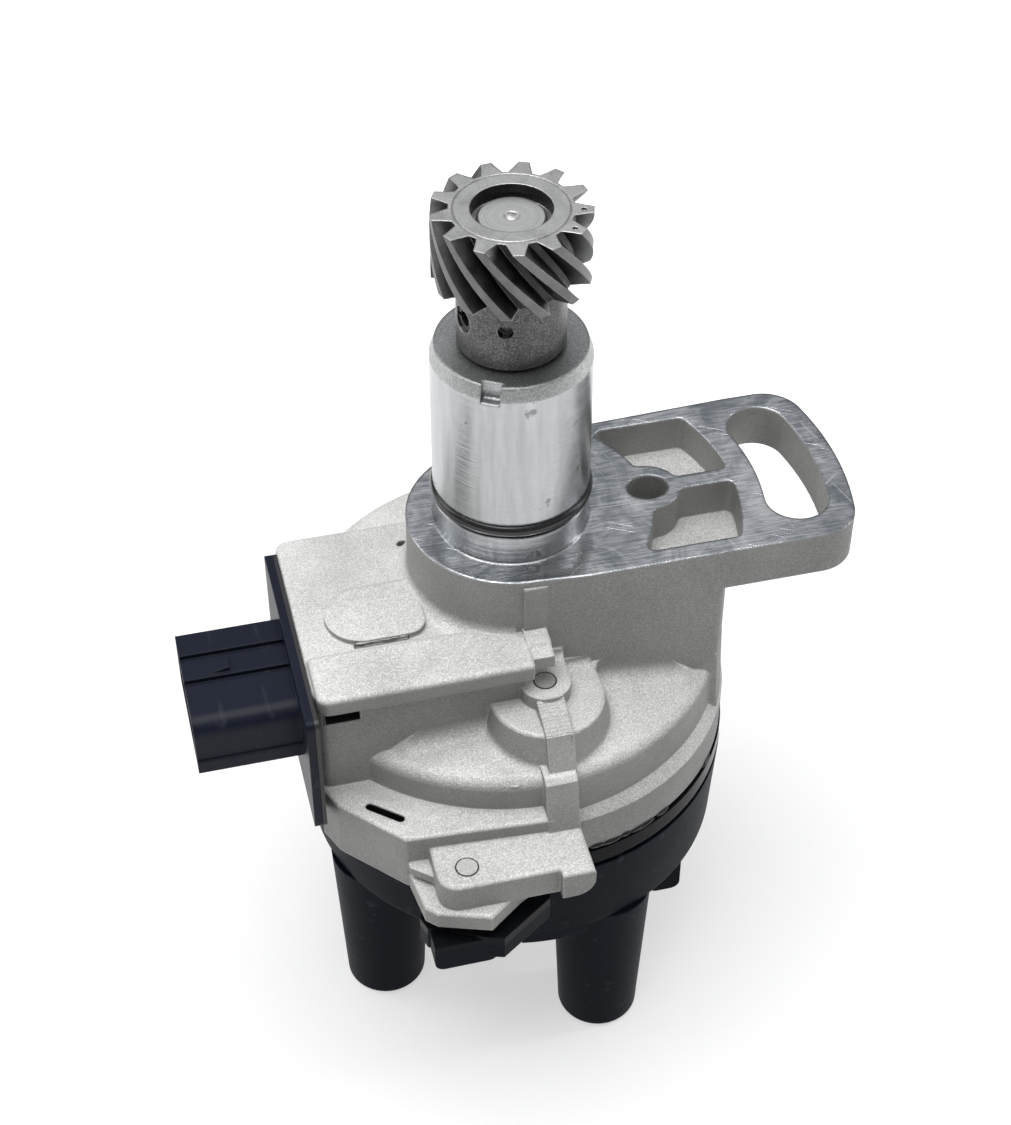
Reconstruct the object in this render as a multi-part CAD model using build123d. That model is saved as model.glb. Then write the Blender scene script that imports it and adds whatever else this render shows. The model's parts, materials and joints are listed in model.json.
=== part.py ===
from build123d import *
import math
import os

os.makedirs("parts", exist_ok=True)

# Ignition distributor, millimetres. The origin is on the shaft axis at the machined
# flange face, +Z runs up toward the drive gear and +X along the flange arm.

# Reach of cutting blocks past every edge
PAST = 150.0

# Clearances
FIT = 0.02
RUN = 0.04
SEAT = 0.05
APART = 0.3

# Shaft
SHAFT_R = 6.25
SHAFT_TOP = 68.2
SHAFT_STEP_Z = -48.0
SHAFT_SEAT_R = 5.5
SHAFT_END_Z = -66.2
SHAFT_FLAT = 4.6
SHAFT_CHAMFER = 0.5
CENTRE_DRILL_R = 1.35
CENTRE_DRILL_DEPTH = 2.6

# Drive gear
GEAR_TEETH = 13
GEAR_TIP_R = 14.25
GEAR_ROOT_R = 11.0
GEAR_TOP = 69.9
GEAR_TEETH_Z = 56.4
GEAR_HUB_Z = 42.4
GEAR_HUB_R = 10.0
GEAR_TWIST = -47.0
GEAR_PHASE = 11.6
TOOTH_TIP_HALF = 4.0
TOOTH_PITCH_HALF = 6.4
TOOTH_ROOT_HALF = 10.2
GEAR_RECESS_R = 7.26
GEAR_RECESS_DEPTH = 3.0
GEAR_FACE_LINE_R = 10.1
FACE_LINE_WIDTH = 0.25
FACE_LINE_DEPTH = 0.15
PUNCH_R = 0.45
PUNCH_DEPTH = 0.5
PUNCH_CIRCLE_R = 12.4
PUNCH_TEETH = (11, 12)
DIMPLE_R = 1.45
DIMPLE_DEPTH = 1.6
DIMPLE_ANGLE = -110.0
DIMPLE_Z = 50.6
PIN_Z = 49.6
PIN_R = 2.5
PIN_BORE_R = 1.5
PIN_SLIT = 0.8
PIN_LENGTH = 18.8
PIN_ANGLE = -165.0
WASHER_R = 9.7
WASHER_THICK = 0.55

# Pilot tube and the round hub under it
TUBE_R = 15.0
TUBE_TOP = 41.5
TUBE_TOP_R = 14.1
TUBE_CHAMFER_Z = 38.8
NOTCH_ANGLE = -118.8
NOTCH_WIDTH = 3.6
NOTCH_BOTTOM = 38.1
NOTCH_INNER_R = 12.9
RING_Z = 7.95
RING_SECTION_R = 1.4
RING_OUTER_R = 15.56
RING_GROOVE_WIDTH = 3.3
HUB_R = 20.4
HUB_BOTTOM = -30.0

# Flange arm
ARM_THICK = 9.5
ARM_REACH = 66.5
ARM_FRONT = -21.2
ARM_BACK_NEAR = 21.5
ARM_BACK_FAR = 22.6
ARM_CORNER_R = 8.0
ARM_BEND_X = (22.0, ARM_REACH - 16.5)
ARM_TANGENT_X = 10.0
KIDNEY_R = ARM_REACH - 10.85
KIDNEY_HALF = 6.25
KIDNEY_LOW = -9.8
KIDNEY_HIGH = 12.9
POCKET_IN_R = 27.5
POCKET_OUT_R = KIDNEY_R - 11.15
POCKET_DEPTH = 8.0
POCKET_BACK = (2.0, 19.0)
POCKET_FRONT = (-17.5, -1.6)
POCKET_CORNER_R = 1.6
OVAL_X = 27.5
OVAL_Y = 0.25
OVAL_HALF_X = 4.15
OVAL_HALF_Y = 3.45
OVAL_BOSS_R = 6.3
OVAL_DEPTH = 14.0

# Web between the arm and the bowl
WEB_EDGE_R = 1.5

# Bowl and front dome, the dome's circle standing a little off the shaft axis
RIM_Z = -52.0
RIM_R = 43.5
SHOULDER_Z = -26.0
SHOULDER_R = 42.4
SHOULDER_FILLET = 3.0
DOME_X = -2.0
DOME_Y = 2.6
DOME_R = 44.6
DOME_EDGE_Z = -31.4
DOME_RISE = 0.184
DOME_BACK = -10.0
DOME_FILLET = 3.0
LEDGE_Z = -43.5
LEDGE_IN = 4.0

# Soft inner corners, the two along the dome from (x, z) to (x, z)
COVE_SINK = 1.5
HUB_COVE = 3.4
DOME_COVE = 4.0
BOSS_COVE = 1.8
COVE_FALL = 0.15
COVE_TAPER = 6.0
WEB_COVE = ((9.0, -27.85), (34.0, -30.95))
BOX_COVE = ((-31.5, -30.75), (-6.0, -28.6))

# Coil box
BOX_LEFT = -44.5
BOX_RIGHT = -4.0
BOX_FRONT = -27.5
BOX_BACK = 17.3
BOX_TOP = -14.0
BOX_BOTTOM = -50.0
BOX_CORNER_R = 2.5
BOX_EDGE_R = 0.8
BOX_WALL = 3.0
PAD_TOP = -12.8
PAD_BOTTOM = -16.5
PAD_LEFT = -44.0
PAD_RIGHT = -2.6
PAD_FRONT = -29.5
PAD_BACK = -17.5
PAD_FILLET = 2.4
UNDERCUT_X = (-42.6, -36.0)
UNDERCUT_Z = (-21.0, -14.8)
UNDERCUT_DEPTH = 2.2
OVAL_PAD_LEFT = -38.8
OVAL_PAD_RIGHT = -19.9
OVAL_PAD_Y = -8.0
OVAL_PAD_HALF = 7.4
VENT_HOLE = (-19.9, 10.6)
VENT_HOLE_R = 0.9
VENT_HOLE_DEPTH = 4.0

# Front details of the housing
STEP_X = (-2.8, 1.8)
STEP_SIDE = [(-20.0, -11.9), (-21.6, -12.3), (-24.0, -12.4), (-24.9, -13.2), (-27.3, -13.4),
             (-27.5, -16.0), (-20.0, -17.5)]
BOSS_Y = -27.0
BOSS_R = 5.0
BOSS_TOP = -20.0
D_BOSS_X = 0.3
D_BOSS_Y = -27.4
D_BOSS_R = 11.1
D_BOSS_TOP = -23.2
D_BOSS_DRAFT = 0.2
D_BOSS_BOTTOM = -36.0
D_BOSS_FILLET = 0.9
RIB_TOP_X = (-2.8, 2.6)
RIB_TOP_SIDE = [(-25.0, -20.5), (-31.2, -20.5), (-39.0, -22.8), (-41.6, -30.2), (-41.6, -33.0),
                (-25.0, -33.0)]
RIB_X = (-4.0, 2.3)
RIB_SIDE = [(-38.0, -29.8), (-42.4, -30.2), (-43.6, -31.2), (-45.9, -40.0), (-46.4, -42.0),
            (-46.4, -47.0), (-38.0, -47.0)]
FLANGE_TOP = -38.5
FLANGE_EDGE = [(-44.5, -27.0), (-42.2, -32.3), (-31.3, -43.9), (-3.0, -45.8),
               (-3.0, -40.0), (-30.0, -25.0), (-42.0, -20.0)]
SLOT_ENDS = ((-36.9, -33.6), (-30.5, -39.0))
SLOT_WIDTH = 1.7
SLOT_DEPTH = 8.0
BAR_TOP = -41.7
BAR_BOTTOM = -48.2
BAR_LEFT = -27.0
BAR_RIGHT = 2.5
BAR_BACK = -38.0
BAR_FRONT = -55.2
BAR_CORNER_R = 4.0
BAR_STEP_X = -4.0
BAR_STEP_FRONT = -57.0
CAST_EDGE_R = 0.8
LUG_EDGE = [(-31.0, -42.0), (-31.0, -44.0), (-29.8, -53.0), (-27.8, -55.0), (-18.0, -58.3),
            (-11.0, -53.1), (-5.0, -50.0), (-3.0, -42.0)]
FIN_EDGE = [(-31.0, -44.0), (-31.0, -45.4), (-26.0, -49.5), (-26.0, -44.0)]
FIN_Z = (-47.0, -45.0)

# Cap screws, one at the front ear and one straight across the axis
CAP_SCREW_X = -21.0
CAP_SCREW_Y = -50.4
CAP_SCREW_R = 2.1
CAP_SCREW_HEAD_R = 4.0
CAP_SCREW_HEAD = 3.4
REAR_EAR_R = 7.5
REAR_EAR_ROOT = -28.0
SCREW_SLACK = 0.05

# Inside of the housing
BUSH_R = 8.5
BUSH_BOTTOM = 19.0
BUSH_TOP = 40.5
TUBE_BORE_R = 8.0
SEAL_R = 13.0
SEAL_TOP = -6.5
SEAL_DEEP = 7.0
BEARING_R = 14.0
BEARING_TOP = -15.0
BEARING_WIDE = 9.0
BEARING_INNER_R = 8.8
BEARING_OUTER_IN_R = 11.6
BALL_R = 2.35
BALL_COUNT = 8
CAGE_R = (9.2, 11.2)
CAGE_HALF = 3.2
ROOF_Z = -25.0
NECK_R = 25.0
NECK_HALF_Y = 18.0
BOWL_IN = [(0.0, -52.0), (39.5, -52.0), (39.5, -50.0), (38.5, -50.0), (38.5, -45.0),
           (36.5, -42.0), (36.5, -35.0), (0.0, -35.0)]
BOWL_LEDGE_Z = -50.0
BOWL_LEDGE_R = 39.5
COIL_ROOM_X = -21.5
COIL_ROOM_Z = (-41.0, -17.0)
DRIVER_ROOM = (23.0, 34.4, -15.0, 15.0, -37.5, -23.0)
BOSS_ROOM_R = 8.0
BOSS_ROOM_TOP = -29.5

# Bearing retainer
RETAINER_HOLE_R = 9.3
RETAINER_R = 16.5
RETAINER_THICK = 1.4
RETAINER_SCREW_X = 19.5
RETAINER_EAR_R = 3.6
SMALL_SCREW_R = 1.5
SMALL_HEAD_R = 2.7
SMALL_HEAD = 1.8
SMALL_SCREW_GRIP = 5.0
CIRCLIP_THICK = 1.0
CIRCLIP_GROOVE_R = 5.7
CIRCLIP_R = 8.0
CIRCLIP_GAP = 3.0

# Trigger wheel
WHEEL_R = 22.0
WHEEL_TOP = -41.6
WHEEL_THICK = 0.8
WHEEL_HUB_R = 8.3
WINDOW_IN_R = 16.5
WINDOW_OUT_R = 19.5
WINDOW_COUNT = 4
WINDOW_SPAN = 38.0
WHEEL_NUT_R = 8.8
WHEEL_NUT_HIGH = 4.0

# Pickup over the rim of the trigger wheel
PICKUP_HALF_X = 7.0
PICKUP_Y = (-31.0, -14.8)
PICKUP_Z = (-47.0, -38.4)
PICKUP_THROAT_Y = -23.4
PICKUP_THROAT_Z = (-43.4, -40.6)
PICKUP_POST_R = 4.5
PICKUP_SCREW_R = 2.1
PICKUP_HEAD_R = 3.6
PICKUP_HEAD = 2.6

# Coil driver module
DRIVER_X = (24.0, 33.4)
DRIVER_HALF_Y = 13.5
DRIVER_Z = (-34.5, -23.1)
DRIVER_SCREW_Y = 10.5
DRIVER_GRIP = 5.5

# Ignition coil
CORE_X = (-42.0, -34.0)
CORE_Y = (-19.5, 13.5)
CORE_Z = (-40.0, -18.0)
CORE_LEG = 4.5
CORE_MIDDLE = 2.6
WINDING_X = (-42.4, -24.0)
COIL_POST = (-30.0, -3.0)
COIL_POST_R = 2.8
COIL_POST_END = -46.0
COIL_PIN_R = 1.2
COIL_PIN_END = -58.0
COIL_SCREW_Z = -20.3
COIL_SCREW_GRIP = 9.0
COIL_PILLAR_R = 2.9

# Dust shield
SHIELD_THICK = 1.4
SHIELD_HOLE_R = 9.6
SHIELD_POST_R = 4.2

# Cap
CAP_TOP = -53.2
CAP_RIM_R = 43.8
CAP_BAND_Z = -57.2
CAP_GROOVE_Z = -58.4
CAP_GROOVE = 1.0
CAP_SHELL_R = CAP_RIM_R + 0.1
CAP_EDGE_Z = -77.5
CAP_EDGE_R = CAP_RIM_R - 0.9
CAP_END_Z = -84.5
CAP_END_R = CAP_RIM_R - 7.8
CAP_EDGE_FILLET = 1.2
CAP_WALL = 3.2
CAP_FLOOR = 4.3
SKIRT_X = (-8.0, 5.5)
SKIRT_Z = -80.0
SPIGOT_R = CAP_RIM_R - 4.5
SPIGOT_WALL = 2.4
SPIGOT_RISE = 0.4
TOWER_CIRCLE_R = CAP_RIM_R - 10.34
TOWER_FIRST = -159.3
TOWER_COUNT = 4
TOWER_END = -119.0
TOWER_END_R = 8.43
TOWER_TAPER = 0.044
TOWER_HEAD_Z = -78.0
TOWER_EDGE_R = 1.6
SOCKET_R = 4.6
SOCKET_DEEP = 15.0
CUP_R = 4.3
CUP_DEEP = 6.0
EAR_TOP = -55.0
EAR_BOTTOM = -61.0
EAR_EDGE = [(-22.0, -27.0), (-30.3, -50.0), (-29.4, -52.6), (-18.6, -57.5), (-15.7, -58.4),
            (-4.8, -51.1), (-3.0, -34.0)]
EAR_BLOCK = (-29.0, -16.5, -57.0, -36.0)
EAR_BLOCK_Z = -62.9
EAR_BLOCK_R = 2.0
HEAD_POCKET_R = 4.6
HEAD_POCKET_Z = -59.0
SIDE_LUG = (26.0, 33.0, -21.0, -15.0)
SIDE_LUG_Z = -100.0
SIDE_LUG_R = 2.0
COLUMN_R = 3.4
COLUMN_TOP = -56.4

# Cap seal
GASKET_IN_R = SPIGOT_R + 0.6
GASKET_OUT_R = CAP_RIM_R - 1.0

# Tower terminals
TERMINAL_TOP = -62.0
TERMINAL_ROD_R = 2.3
TERMINAL_VANE_R = 25.6
TERMINAL_VANE_HALF = 2.4
TERMINAL_VANE_LOW = -70.0
TERMINAL_CUP_R = 3.0

# Centre contact
STRIP_HALF = 1.5
STRIP_Z = (-82.4, -81.4)
BRUSH_R = 2.5
BRUSH_TOP = -70.0
BRUSH_LENGTH = 6.0
BRUSH_STEM_R = 1.2
BRUSH_STEM = 2.0
HOLDER_R = 5.2
HOLDER_TOP = -72.0
SPRING_WIRE_R = 0.25
SPRING_R = 1.9
SPRING_TURNS = 4

# Rotor arm
ROTOR_TOP = -54.0
ROTOR_LOW = -68.2
ROTOR_HUB_R = 9.0
ROTOR_ARM_HALF = 5.0
ROTOR_ARM_THICK = 6.2
ROTOR_TAIL_R = 14.0
ROTOR_ANGLE = -69.3
ROTOR_BORE_END = -66.4
ELECTRODE_LOW = -69.7
ELECTRODE_HALF = 3.2
ELECTRODE_R = 24.5
ELECTRODE_TIP = 1.5
ELECTRODE_TIP_TOP = -62.2
SET_SCREW_Z = -58.6
SET_SCREW_R = 2.0

# Connector plate and receptacle
GASKET_THICK = 0.8
PLATE_OUT = -46.9
PLATE_Y = (-33.5, 14.6)
PLATE_Z = (-43.0, -14.0)
PLATE_CORNER_R = 1.5
SHELL_OUT = -67.0
SHELL_Y = (-25.0, -0.3)
SHELL_Z = (-30.1, -18.0)
SHELL_WALL = 1.6
SHELL_FILLET = 3.4
SHELL_BACK = -50.0
GROOVE_Y = (-13.5, -6.8)
GROOVE_WIDTH = 1.6
GROOVE_DEEP = 1.0
LATCH_X = (-62.0, -58.0)
LATCH_RISE = 1.0
LEDGE_OUT = 0.5
LEDGE_TOP = -27.4
PIN_COLUMNS = 4
PIN_PITCH = 4.6
PIN_ROWS_Z = (-26.3, -21.8)
PIN_HALF_Y = 0.75
PIN_HALF_Z = 0.4
PIN_OUT = -60.0
PIN_IN = -43.3


def disc(r, z0, z1, x=0.0, y=0.0):
    """Round bar along Z."""
    return Pos(x, y, (z0 + z1) / 2) * Cylinder(r, abs(z1 - z0))


def ring(r_out, r_in, z0, z1, x=0.0, y=0.0):
    """Tube along Z."""
    low, high = min(z0, z1), max(z0, z1)
    return disc(r_out, low, high, x, y) - disc(r_in, low - 1, high + 1, x, y)


def block(x0, x1, y0, y1, z0, z1):
    """Box between two corners."""
    middle = Pos((x0 + x1) / 2, (y0 + y1) / 2, (z0 + z1) / 2)
    return middle * Box(abs(x1 - x0), abs(y1 - y0), abs(z1 - z0))


def slab(points, z0, z1):
    """Flat plate of an outline given in X and Y."""
    return Pos(0, 0, min(z0, z1)) * extrude(Polygon(*points, align=None), abs(z1 - z0))


def turned(points):
    """Body of revolution about Z from (radius, z) points."""
    return revolve(Plane.XZ * Polygon(*points, align=None), Axis.Z)


def across(points, x0, x1):
    """Bar along X from a side outline given in Y and Z."""
    face = Plane.YZ * Polygon(*points, align=None)
    return Pos(min(x0, x1), 0, 0) * extrude(face, abs(x1 - x0))


def rod_x(r, x0, x1, y, z):
    """Round bar along X."""
    return Pos((x0 + x1) / 2, y, z) * Rot(0, 90, 0) * Cylinder(r, abs(x1 - x0))


def polar(r, degrees):
    """Point of a circle about the shaft axis."""
    turn = math.radians(degrees)
    return (r * math.cos(turn), r * math.sin(turn))


def wedge(reach, low, high):
    """Sector points from the axis between two angles."""
    steps = 6
    fan = [polar(reach, low + (high - low) * i / steps) for i in range(steps + 1)]
    return [(0.0, 0.0)] + fan


def half_turn(shape):
    """The same piece straight across the axis."""
    return Rot(0, 0, 180) * shape


def save(name, *shapes):
    """Writes one node, as one solid or as a group of separate solids."""
    solids = [solid for shape in shapes for solid in shape.solids()]
    node = solids[0] if len(solids) == 1 else Compound(children=solids)
    node.label = name
    export_step(node, "parts/" + name + ".step")


def kidney():
    """Adjusting slot of the arm, curved about the shaft axis."""
    band = Circle(KIDNEY_R + KIDNEY_HALF) - Circle(KIDNEY_R - KIDNEY_HALF)
    band = band & Polygon(*wedge(2 * ARM_REACH, KIDNEY_LOW, KIDNEY_HIGH), align=None)
    for angle in (KIDNEY_LOW, KIDNEY_HIGH):
        band = band + Pos(*polar(KIDNEY_R, angle)) * Circle(KIDNEY_HALF)
    return Pos(0, 0, -ARM_THICK - 1) * extrude(band, ARM_THICK + 2)


def arm_pocket(y_range):
    """One blind pocket of the arm, cut back round the boss of the oval hole."""
    low, high = y_range
    band = Circle(POCKET_OUT_R) - Circle(POCKET_IN_R)
    window = [(0, low), (POCKET_OUT_R, low), (POCKET_OUT_R, high), (0, high)]
    area = (band & Polygon(*window, align=None)) - Pos(OVAL_X, OVAL_Y) * Circle(OVAL_BOSS_R)
    area = fillet(area.vertices(), POCKET_CORNER_R)
    return Pos(0, 0, -POCKET_DEPTH) * extrude(area, POCKET_DEPTH + 1)


def arm():
    """Flat flange arm with its slot, pockets and oval hole."""
    past = ARM_REACH + 5
    edge = [(0, -HUB_R), (ARM_TANGENT_X, ARM_FRONT), (past, ARM_FRONT), (past, ARM_BACK_FAR),
            (ARM_BEND_X[1], ARM_BACK_FAR), (ARM_BEND_X[0], ARM_BACK_NEAR), (0, HUB_R)]
    flat = Polygon(*edge, align=None) & Circle(ARM_REACH)
    flat = fillet(flat.vertices().sort_by(Axis.X)[-2:], ARM_CORNER_R)
    body = Pos(0, 0, -ARM_THICK) * extrude(flat, ARM_THICK)
    body = body - kidney() - arm_pocket(POCKET_BACK) - arm_pocket(POCKET_FRONT)
    return body


def web():
    """Web between the arm and the bowl, flat in front and behind, round at its end."""
    body = disc(SHOULDER_R, LEDGE_Z + LEDGE_IN, -ARM_THICK)
    edge = [(0, -HUB_R), (ARM_TANGENT_X, ARM_FRONT), (PAST, ARM_FRONT), (PAST, ARM_BACK_NEAR),
            (ARM_BEND_X[0], ARM_BACK_NEAR), (0, HUB_R)]
    body = body & slab(edge, RIM_Z, 0)
    outer = body.edges().filter_by(Axis.Z).sort_by(Axis.X)[-2:]
    return fillet(outer, WEB_EDGE_R)


def bowl():
    """Round body: high shoulder behind, low dome in front."""
    back = turned([(0, SHOULDER_Z), (SHOULDER_R, SHOULDER_Z), (RIM_R, RIM_Z), (0, RIM_Z)])
    back = fillet(back.edges().group_by(Axis.Z)[-1], SHOULDER_FILLET)
    back = back & block(-PAST, PAST, ARM_FRONT, PAST, RIM_Z, 0)
    crown = DOME_EDGE_Z + DOME_RISE * DOME_R
    front = Pos(DOME_X, DOME_Y, 0) * turned([(0, crown), (DOME_R, DOME_EDGE_Z), (DOME_R, LEDGE_Z - 2),
                                             (0, LEDGE_Z - 2)])
    front = fillet(front.edges().filter_by(GeomType.CIRCLE).group_by(Axis.Z)[-1], DOME_FILLET)
    front = front & block(BOX_LEFT, PAST, -PAST, DOME_BACK, LEDGE_Z - 2, 0)
    front = front & (disc(3 * RIM_R, LEDGE_Z, 0) + disc(RIM_R, RIM_Z, LEDGE_Z))
    ledge = turned([(0, LEDGE_Z + LEDGE_IN), (RIM_R - LEDGE_IN, LEDGE_Z + LEDGE_IN), (RIM_R, LEDGE_Z),
                    (RIM_R, RIM_Z), (0, RIM_Z)])
    return back + front + ledge


def dome_boss():
    """D-shaped boss of the dome, straight at the wall and drafted in front."""
    high = D_BOSS_TOP - D_BOSS_BOTTOM
    foot_r = D_BOSS_R + D_BOSS_DRAFT * high
    body = Pos(D_BOSS_X, D_BOSS_Y, D_BOSS_BOTTOM + high / 2) * Cone(foot_r, D_BOSS_R, high)
    body = body + block(D_BOSS_X - D_BOSS_R, D_BOSS_X + D_BOSS_R, D_BOSS_Y, ARM_FRONT + 1,
                        D_BOSS_BOTTOM, D_BOSS_TOP)
    rim = [e for e in body.edges().group_by(Axis.Z)[-1] if e.center().Y < ARM_FRONT]
    return fillet(rim, D_BOSS_FILLET)


def bossed_bowl():
    """Bowl with its D-shaped boss, whose foot runs softly into the dome."""
    body = bowl() + dome_boss()
    foot_r = D_BOSS_R + D_BOSS_DRAFT * (D_BOSS_TOP - D_BOSS_BOTTOM)
    foot = []
    for edge in body.edges().filter_by(GeomType.BSPLINE):
        middle = edge @ 0.5
        away = math.dist((middle.X, middle.Y), (D_BOSS_X, D_BOSS_Y))
        if D_BOSS_R < away < foot_r and D_BOSS_BOTTOM < middle.Z < D_BOSS_TOP - BOSS_COVE:
            foot.append(edge)
    return fillet(foot, BOSS_COVE)


def cove_section(size):
    """Corner section with a concave round, its corner at the origin."""
    square = [(-COVE_SINK, -COVE_SINK), (size, -COVE_SINK), (size, size), (-COVE_SINK, size)]
    return Polygon(*square, align=None) - Pos(size, size) * Circle(size)


def coves():
    """Soft inner corners between the hub, the box, the web and the dome."""
    section = Plane.XZ * (Pos(HUB_R, BOX_TOP) * cove_section(HUB_COVE))
    body = revolve(section, Axis.Z)
    body = body & block(-2 * HUB_R, BOX_RIGHT, BOX_FRONT, BOX_BACK, BOX_TOP - COVE_SINK, 0)
    boss_right = D_BOSS_X + D_BOSS_R
    reach = DOME_R - DOME_FILLET
    low = DOME_EDGE_Z + DOME_RISE * DOME_FILLET
    dome_end = Pos(DOME_X, DOME_Y, 0) * turned([
        (0, 0), (reach - COVE_TAPER, 0), (reach - COVE_TAPER, low + COVE_TAPER),
        (reach, low), (reach, RIM_Z), (0, RIM_Z)])
    body = body + (wall_cove(DOME_COVE, COVE_FALL, *WEB_COVE, ARM_FRONT) & dome_end)
    body = body + (wall_cove(DOME_COVE, COVE_FALL, *BOX_COVE, BOX_FRONT) & dome_end)
    boss_end = (boss_right - D_BOSS_FILLET, D_BOSS_TOP)
    body = body + wall_cove(BOSS_COVE, 0.0, (BOSS_R - 1, D_BOSS_TOP), boss_end, ARM_FRONT)
    body = body + wall_cove(BOSS_COVE, 0.0, (0, BOSS_TOP), (BOSS_R, BOSS_TOP), ARM_FRONT)
    corner = Rot(0, 0, -90) * extrude(cove_section(BOSS_COVE), D_BOSS_TOP - D_BOSS_BOTTOM)
    return body + Pos(boss_right, ARM_FRONT, D_BOSS_BOTTOM) * corner


def wall_cove(size, fall, start, end, y):
    """Cove between a wall at y and a floor that falls away, from one (x, z) place to another."""
    lean = math.hypot(1, fall)
    high = size * (lean - fall)
    toe_out = size - size * fall / lean
    toe_up = high - size / lean
    outline = [(-COVE_SINK, -COVE_SINK), (high, -COVE_SINK), (high, size), (toe_up, toe_out),
               (toe_up - COVE_SINK, toe_out)]
    section = Polygon(*outline, align=None) - Pos(high, size) * Circle(size)
    slope = math.degrees(math.atan2(start[1] - end[1], end[0] - start[0]))
    strip = extrude(Plane.YZ * Rot(0, 0, 90) * section, math.dist(start, end))
    return Pos(start[0], y, start[1]) * Rot(0, slope, 0) * strip


def coil_box():
    """Square box of the coil with the raised pad along its front."""
    body = block(BOX_LEFT, BOX_RIGHT, BOX_FRONT, BOX_BACK, BOX_BOTTOM, BOX_TOP)
    corner = [e for e in body.edges().filter_by(Axis.Z) if e.center().X < BOX_RIGHT - 1]
    body = fillet(corner, BOX_CORNER_R)
    body = fillet(body.edges().group_by(Axis.Z)[-1], BOX_EDGE_R)
    pad = block(PAD_LEFT, PAD_RIGHT, PAD_FRONT, PAD_BACK, PAD_BOTTOM, PAD_TOP)
    front_left = [e for e in pad.edges().filter_by(Axis.Z)
                  if e.center().X < BOX_RIGHT - 1 and e.center().Y < PAD_BACK - 1]
    pad = fillet(front_left, PAD_FILLET)
    top_front = [e for e in pad.edges().group_by(Axis.Z)[-1]
                 if e.center().Y < PAD_BACK - 1 and e.center().X < BOX_RIGHT - 1]
    pad = fillet(top_front, PAD_FILLET / 2)
    middle = OVAL_PAD_LEFT + OVAL_PAD_HALF
    oval = disc(OVAL_PAD_HALF, BOX_TOP - 1, PAD_TOP, middle, OVAL_PAD_Y)
    oval = oval + block(middle, OVAL_PAD_RIGHT, OVAL_PAD_Y - OVAL_PAD_HALF, OVAL_PAD_Y + OVAL_PAD_HALF,
                        BOX_TOP - 1, PAD_TOP)
    right_front = oval.edges().filter_by(Axis.Z).sort_by(Axis.X)[-2:].sort_by(Axis.Y)[0]
    oval = fillet(right_front, OVAL_PAD_HALF / 2)
    under = block(UNDERCUT_X[0], UNDERCUT_X[1], BOX_FRONT - 0.01, BOX_FRONT + UNDERCUT_DEPTH,
                  UNDERCUT_Z[0], UNDERCUT_Z[1])
    return body + pad + oval - under


def front_details():
    """Screw boss, rib, step block, left flange, bar, lug and fin of the front."""
    step = across(STEP_SIDE, *STEP_X)
    boss = disc(BOSS_R, D_BOSS_TOP - 1, BOSS_TOP, 0, BOSS_Y)
    boss = boss + block(-BOSS_R, BOSS_R, BOSS_Y, ARM_FRONT + 1, D_BOSS_TOP - 1, BOSS_TOP)
    rib = across(RIB_TOP_SIDE, *RIB_TOP_X) + across(RIB_SIDE, *RIB_X)
    flange = slab(FLANGE_EDGE, RIM_Z, FLANGE_TOP)
    slot_from, slot_to = SLOT_ENDS
    slot_x = (slot_from[0] + slot_to[0]) / 2
    slot_y = (slot_from[1] + slot_to[1]) / 2
    slot_long = math.dist(slot_from, slot_to)
    slot_turn = math.degrees(math.atan2(slot_to[1] - slot_from[1], slot_to[0] - slot_from[0]))
    slot = extrude(SlotOverall(slot_long, SLOT_WIDTH), SLOT_DEPTH + 1)
    flange = flange - Pos(slot_x, slot_y, FLANGE_TOP - SLOT_DEPTH) * Rot(0, 0, slot_turn) * slot
    flange = rounded_top(flange, FLANGE_EDGE[:4])
    lug = rounded_top(slab(LUG_EDGE, RIM_Z, BAR_BOTTOM), LUG_EDGE[1:7])
    return step + boss + rib + flange + slab(FIN_EDGE, *FIN_Z) + bar() + lug


def rounded_top(body, corners):
    """Rounds the upper edges that run between the given corners of the outline."""
    middles = [((a[0] + b[0]) / 2, (a[1] + b[1]) / 2) for a, b in zip(corners, corners[1:])]
    upper = body.edges().group_by(Axis.Z)[-1]
    chosen = [e for e in upper if min(math.dist((e.center().X, e.center().Y), m) for m in middles) < 0.1]
    return fillet(chosen, CAST_EDGE_R)


def bar():
    """Thick bar that carries the front cap screw, stepped at its right end."""
    left = block(BAR_LEFT, BAR_STEP_X + 0.5, BAR_FRONT, BAR_BACK, BAR_BOTTOM, BAR_TOP)
    corner = left.edges().filter_by(Axis.Z).sort_by(Axis.X)[:2].sort_by(Axis.Y)[0]
    left = fillet(corner, BAR_CORNER_R)
    right = block(BAR_STEP_X, BAR_RIGHT, BAR_STEP_FRONT, BAR_BACK, BAR_BOTTOM, BAR_TOP)
    low = right.edges().filter_by(Axis.Y).group_by(Axis.Z)[0].sort_by(Axis.X)[-1]
    body = left + fillet(low, BAR_CORNER_R)
    upper = [e for e in body.edges().group_by(Axis.Z)[-1] if e.center().Y < BAR_BACK - 0.1]
    return fillet(upper, CAST_EDGE_R)


def rear_ear():
    """Plain ear for the second cap screw, behind the bowl."""
    reach = block(CAP_SCREW_X - REAR_EAR_R, CAP_SCREW_X + REAR_EAR_R, CAP_SCREW_Y, REAR_EAR_ROOT,
                  RIM_Z, BAR_TOP)
    return half_turn(disc(REAR_EAR_R, RIM_Z, BAR_TOP, CAP_SCREW_X, CAP_SCREW_Y) + reach)


def bearing_screws_xy():
    """Places of the two retainer screws."""
    return [(RETAINER_SCREW_X, 0.0), (-RETAINER_SCREW_X, 0.0)]


def cap_screw_places():
    """Places of the two cap screws."""
    return [(CAP_SCREW_X, CAP_SCREW_Y), (-CAP_SCREW_X, -CAP_SCREW_Y)]


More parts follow.
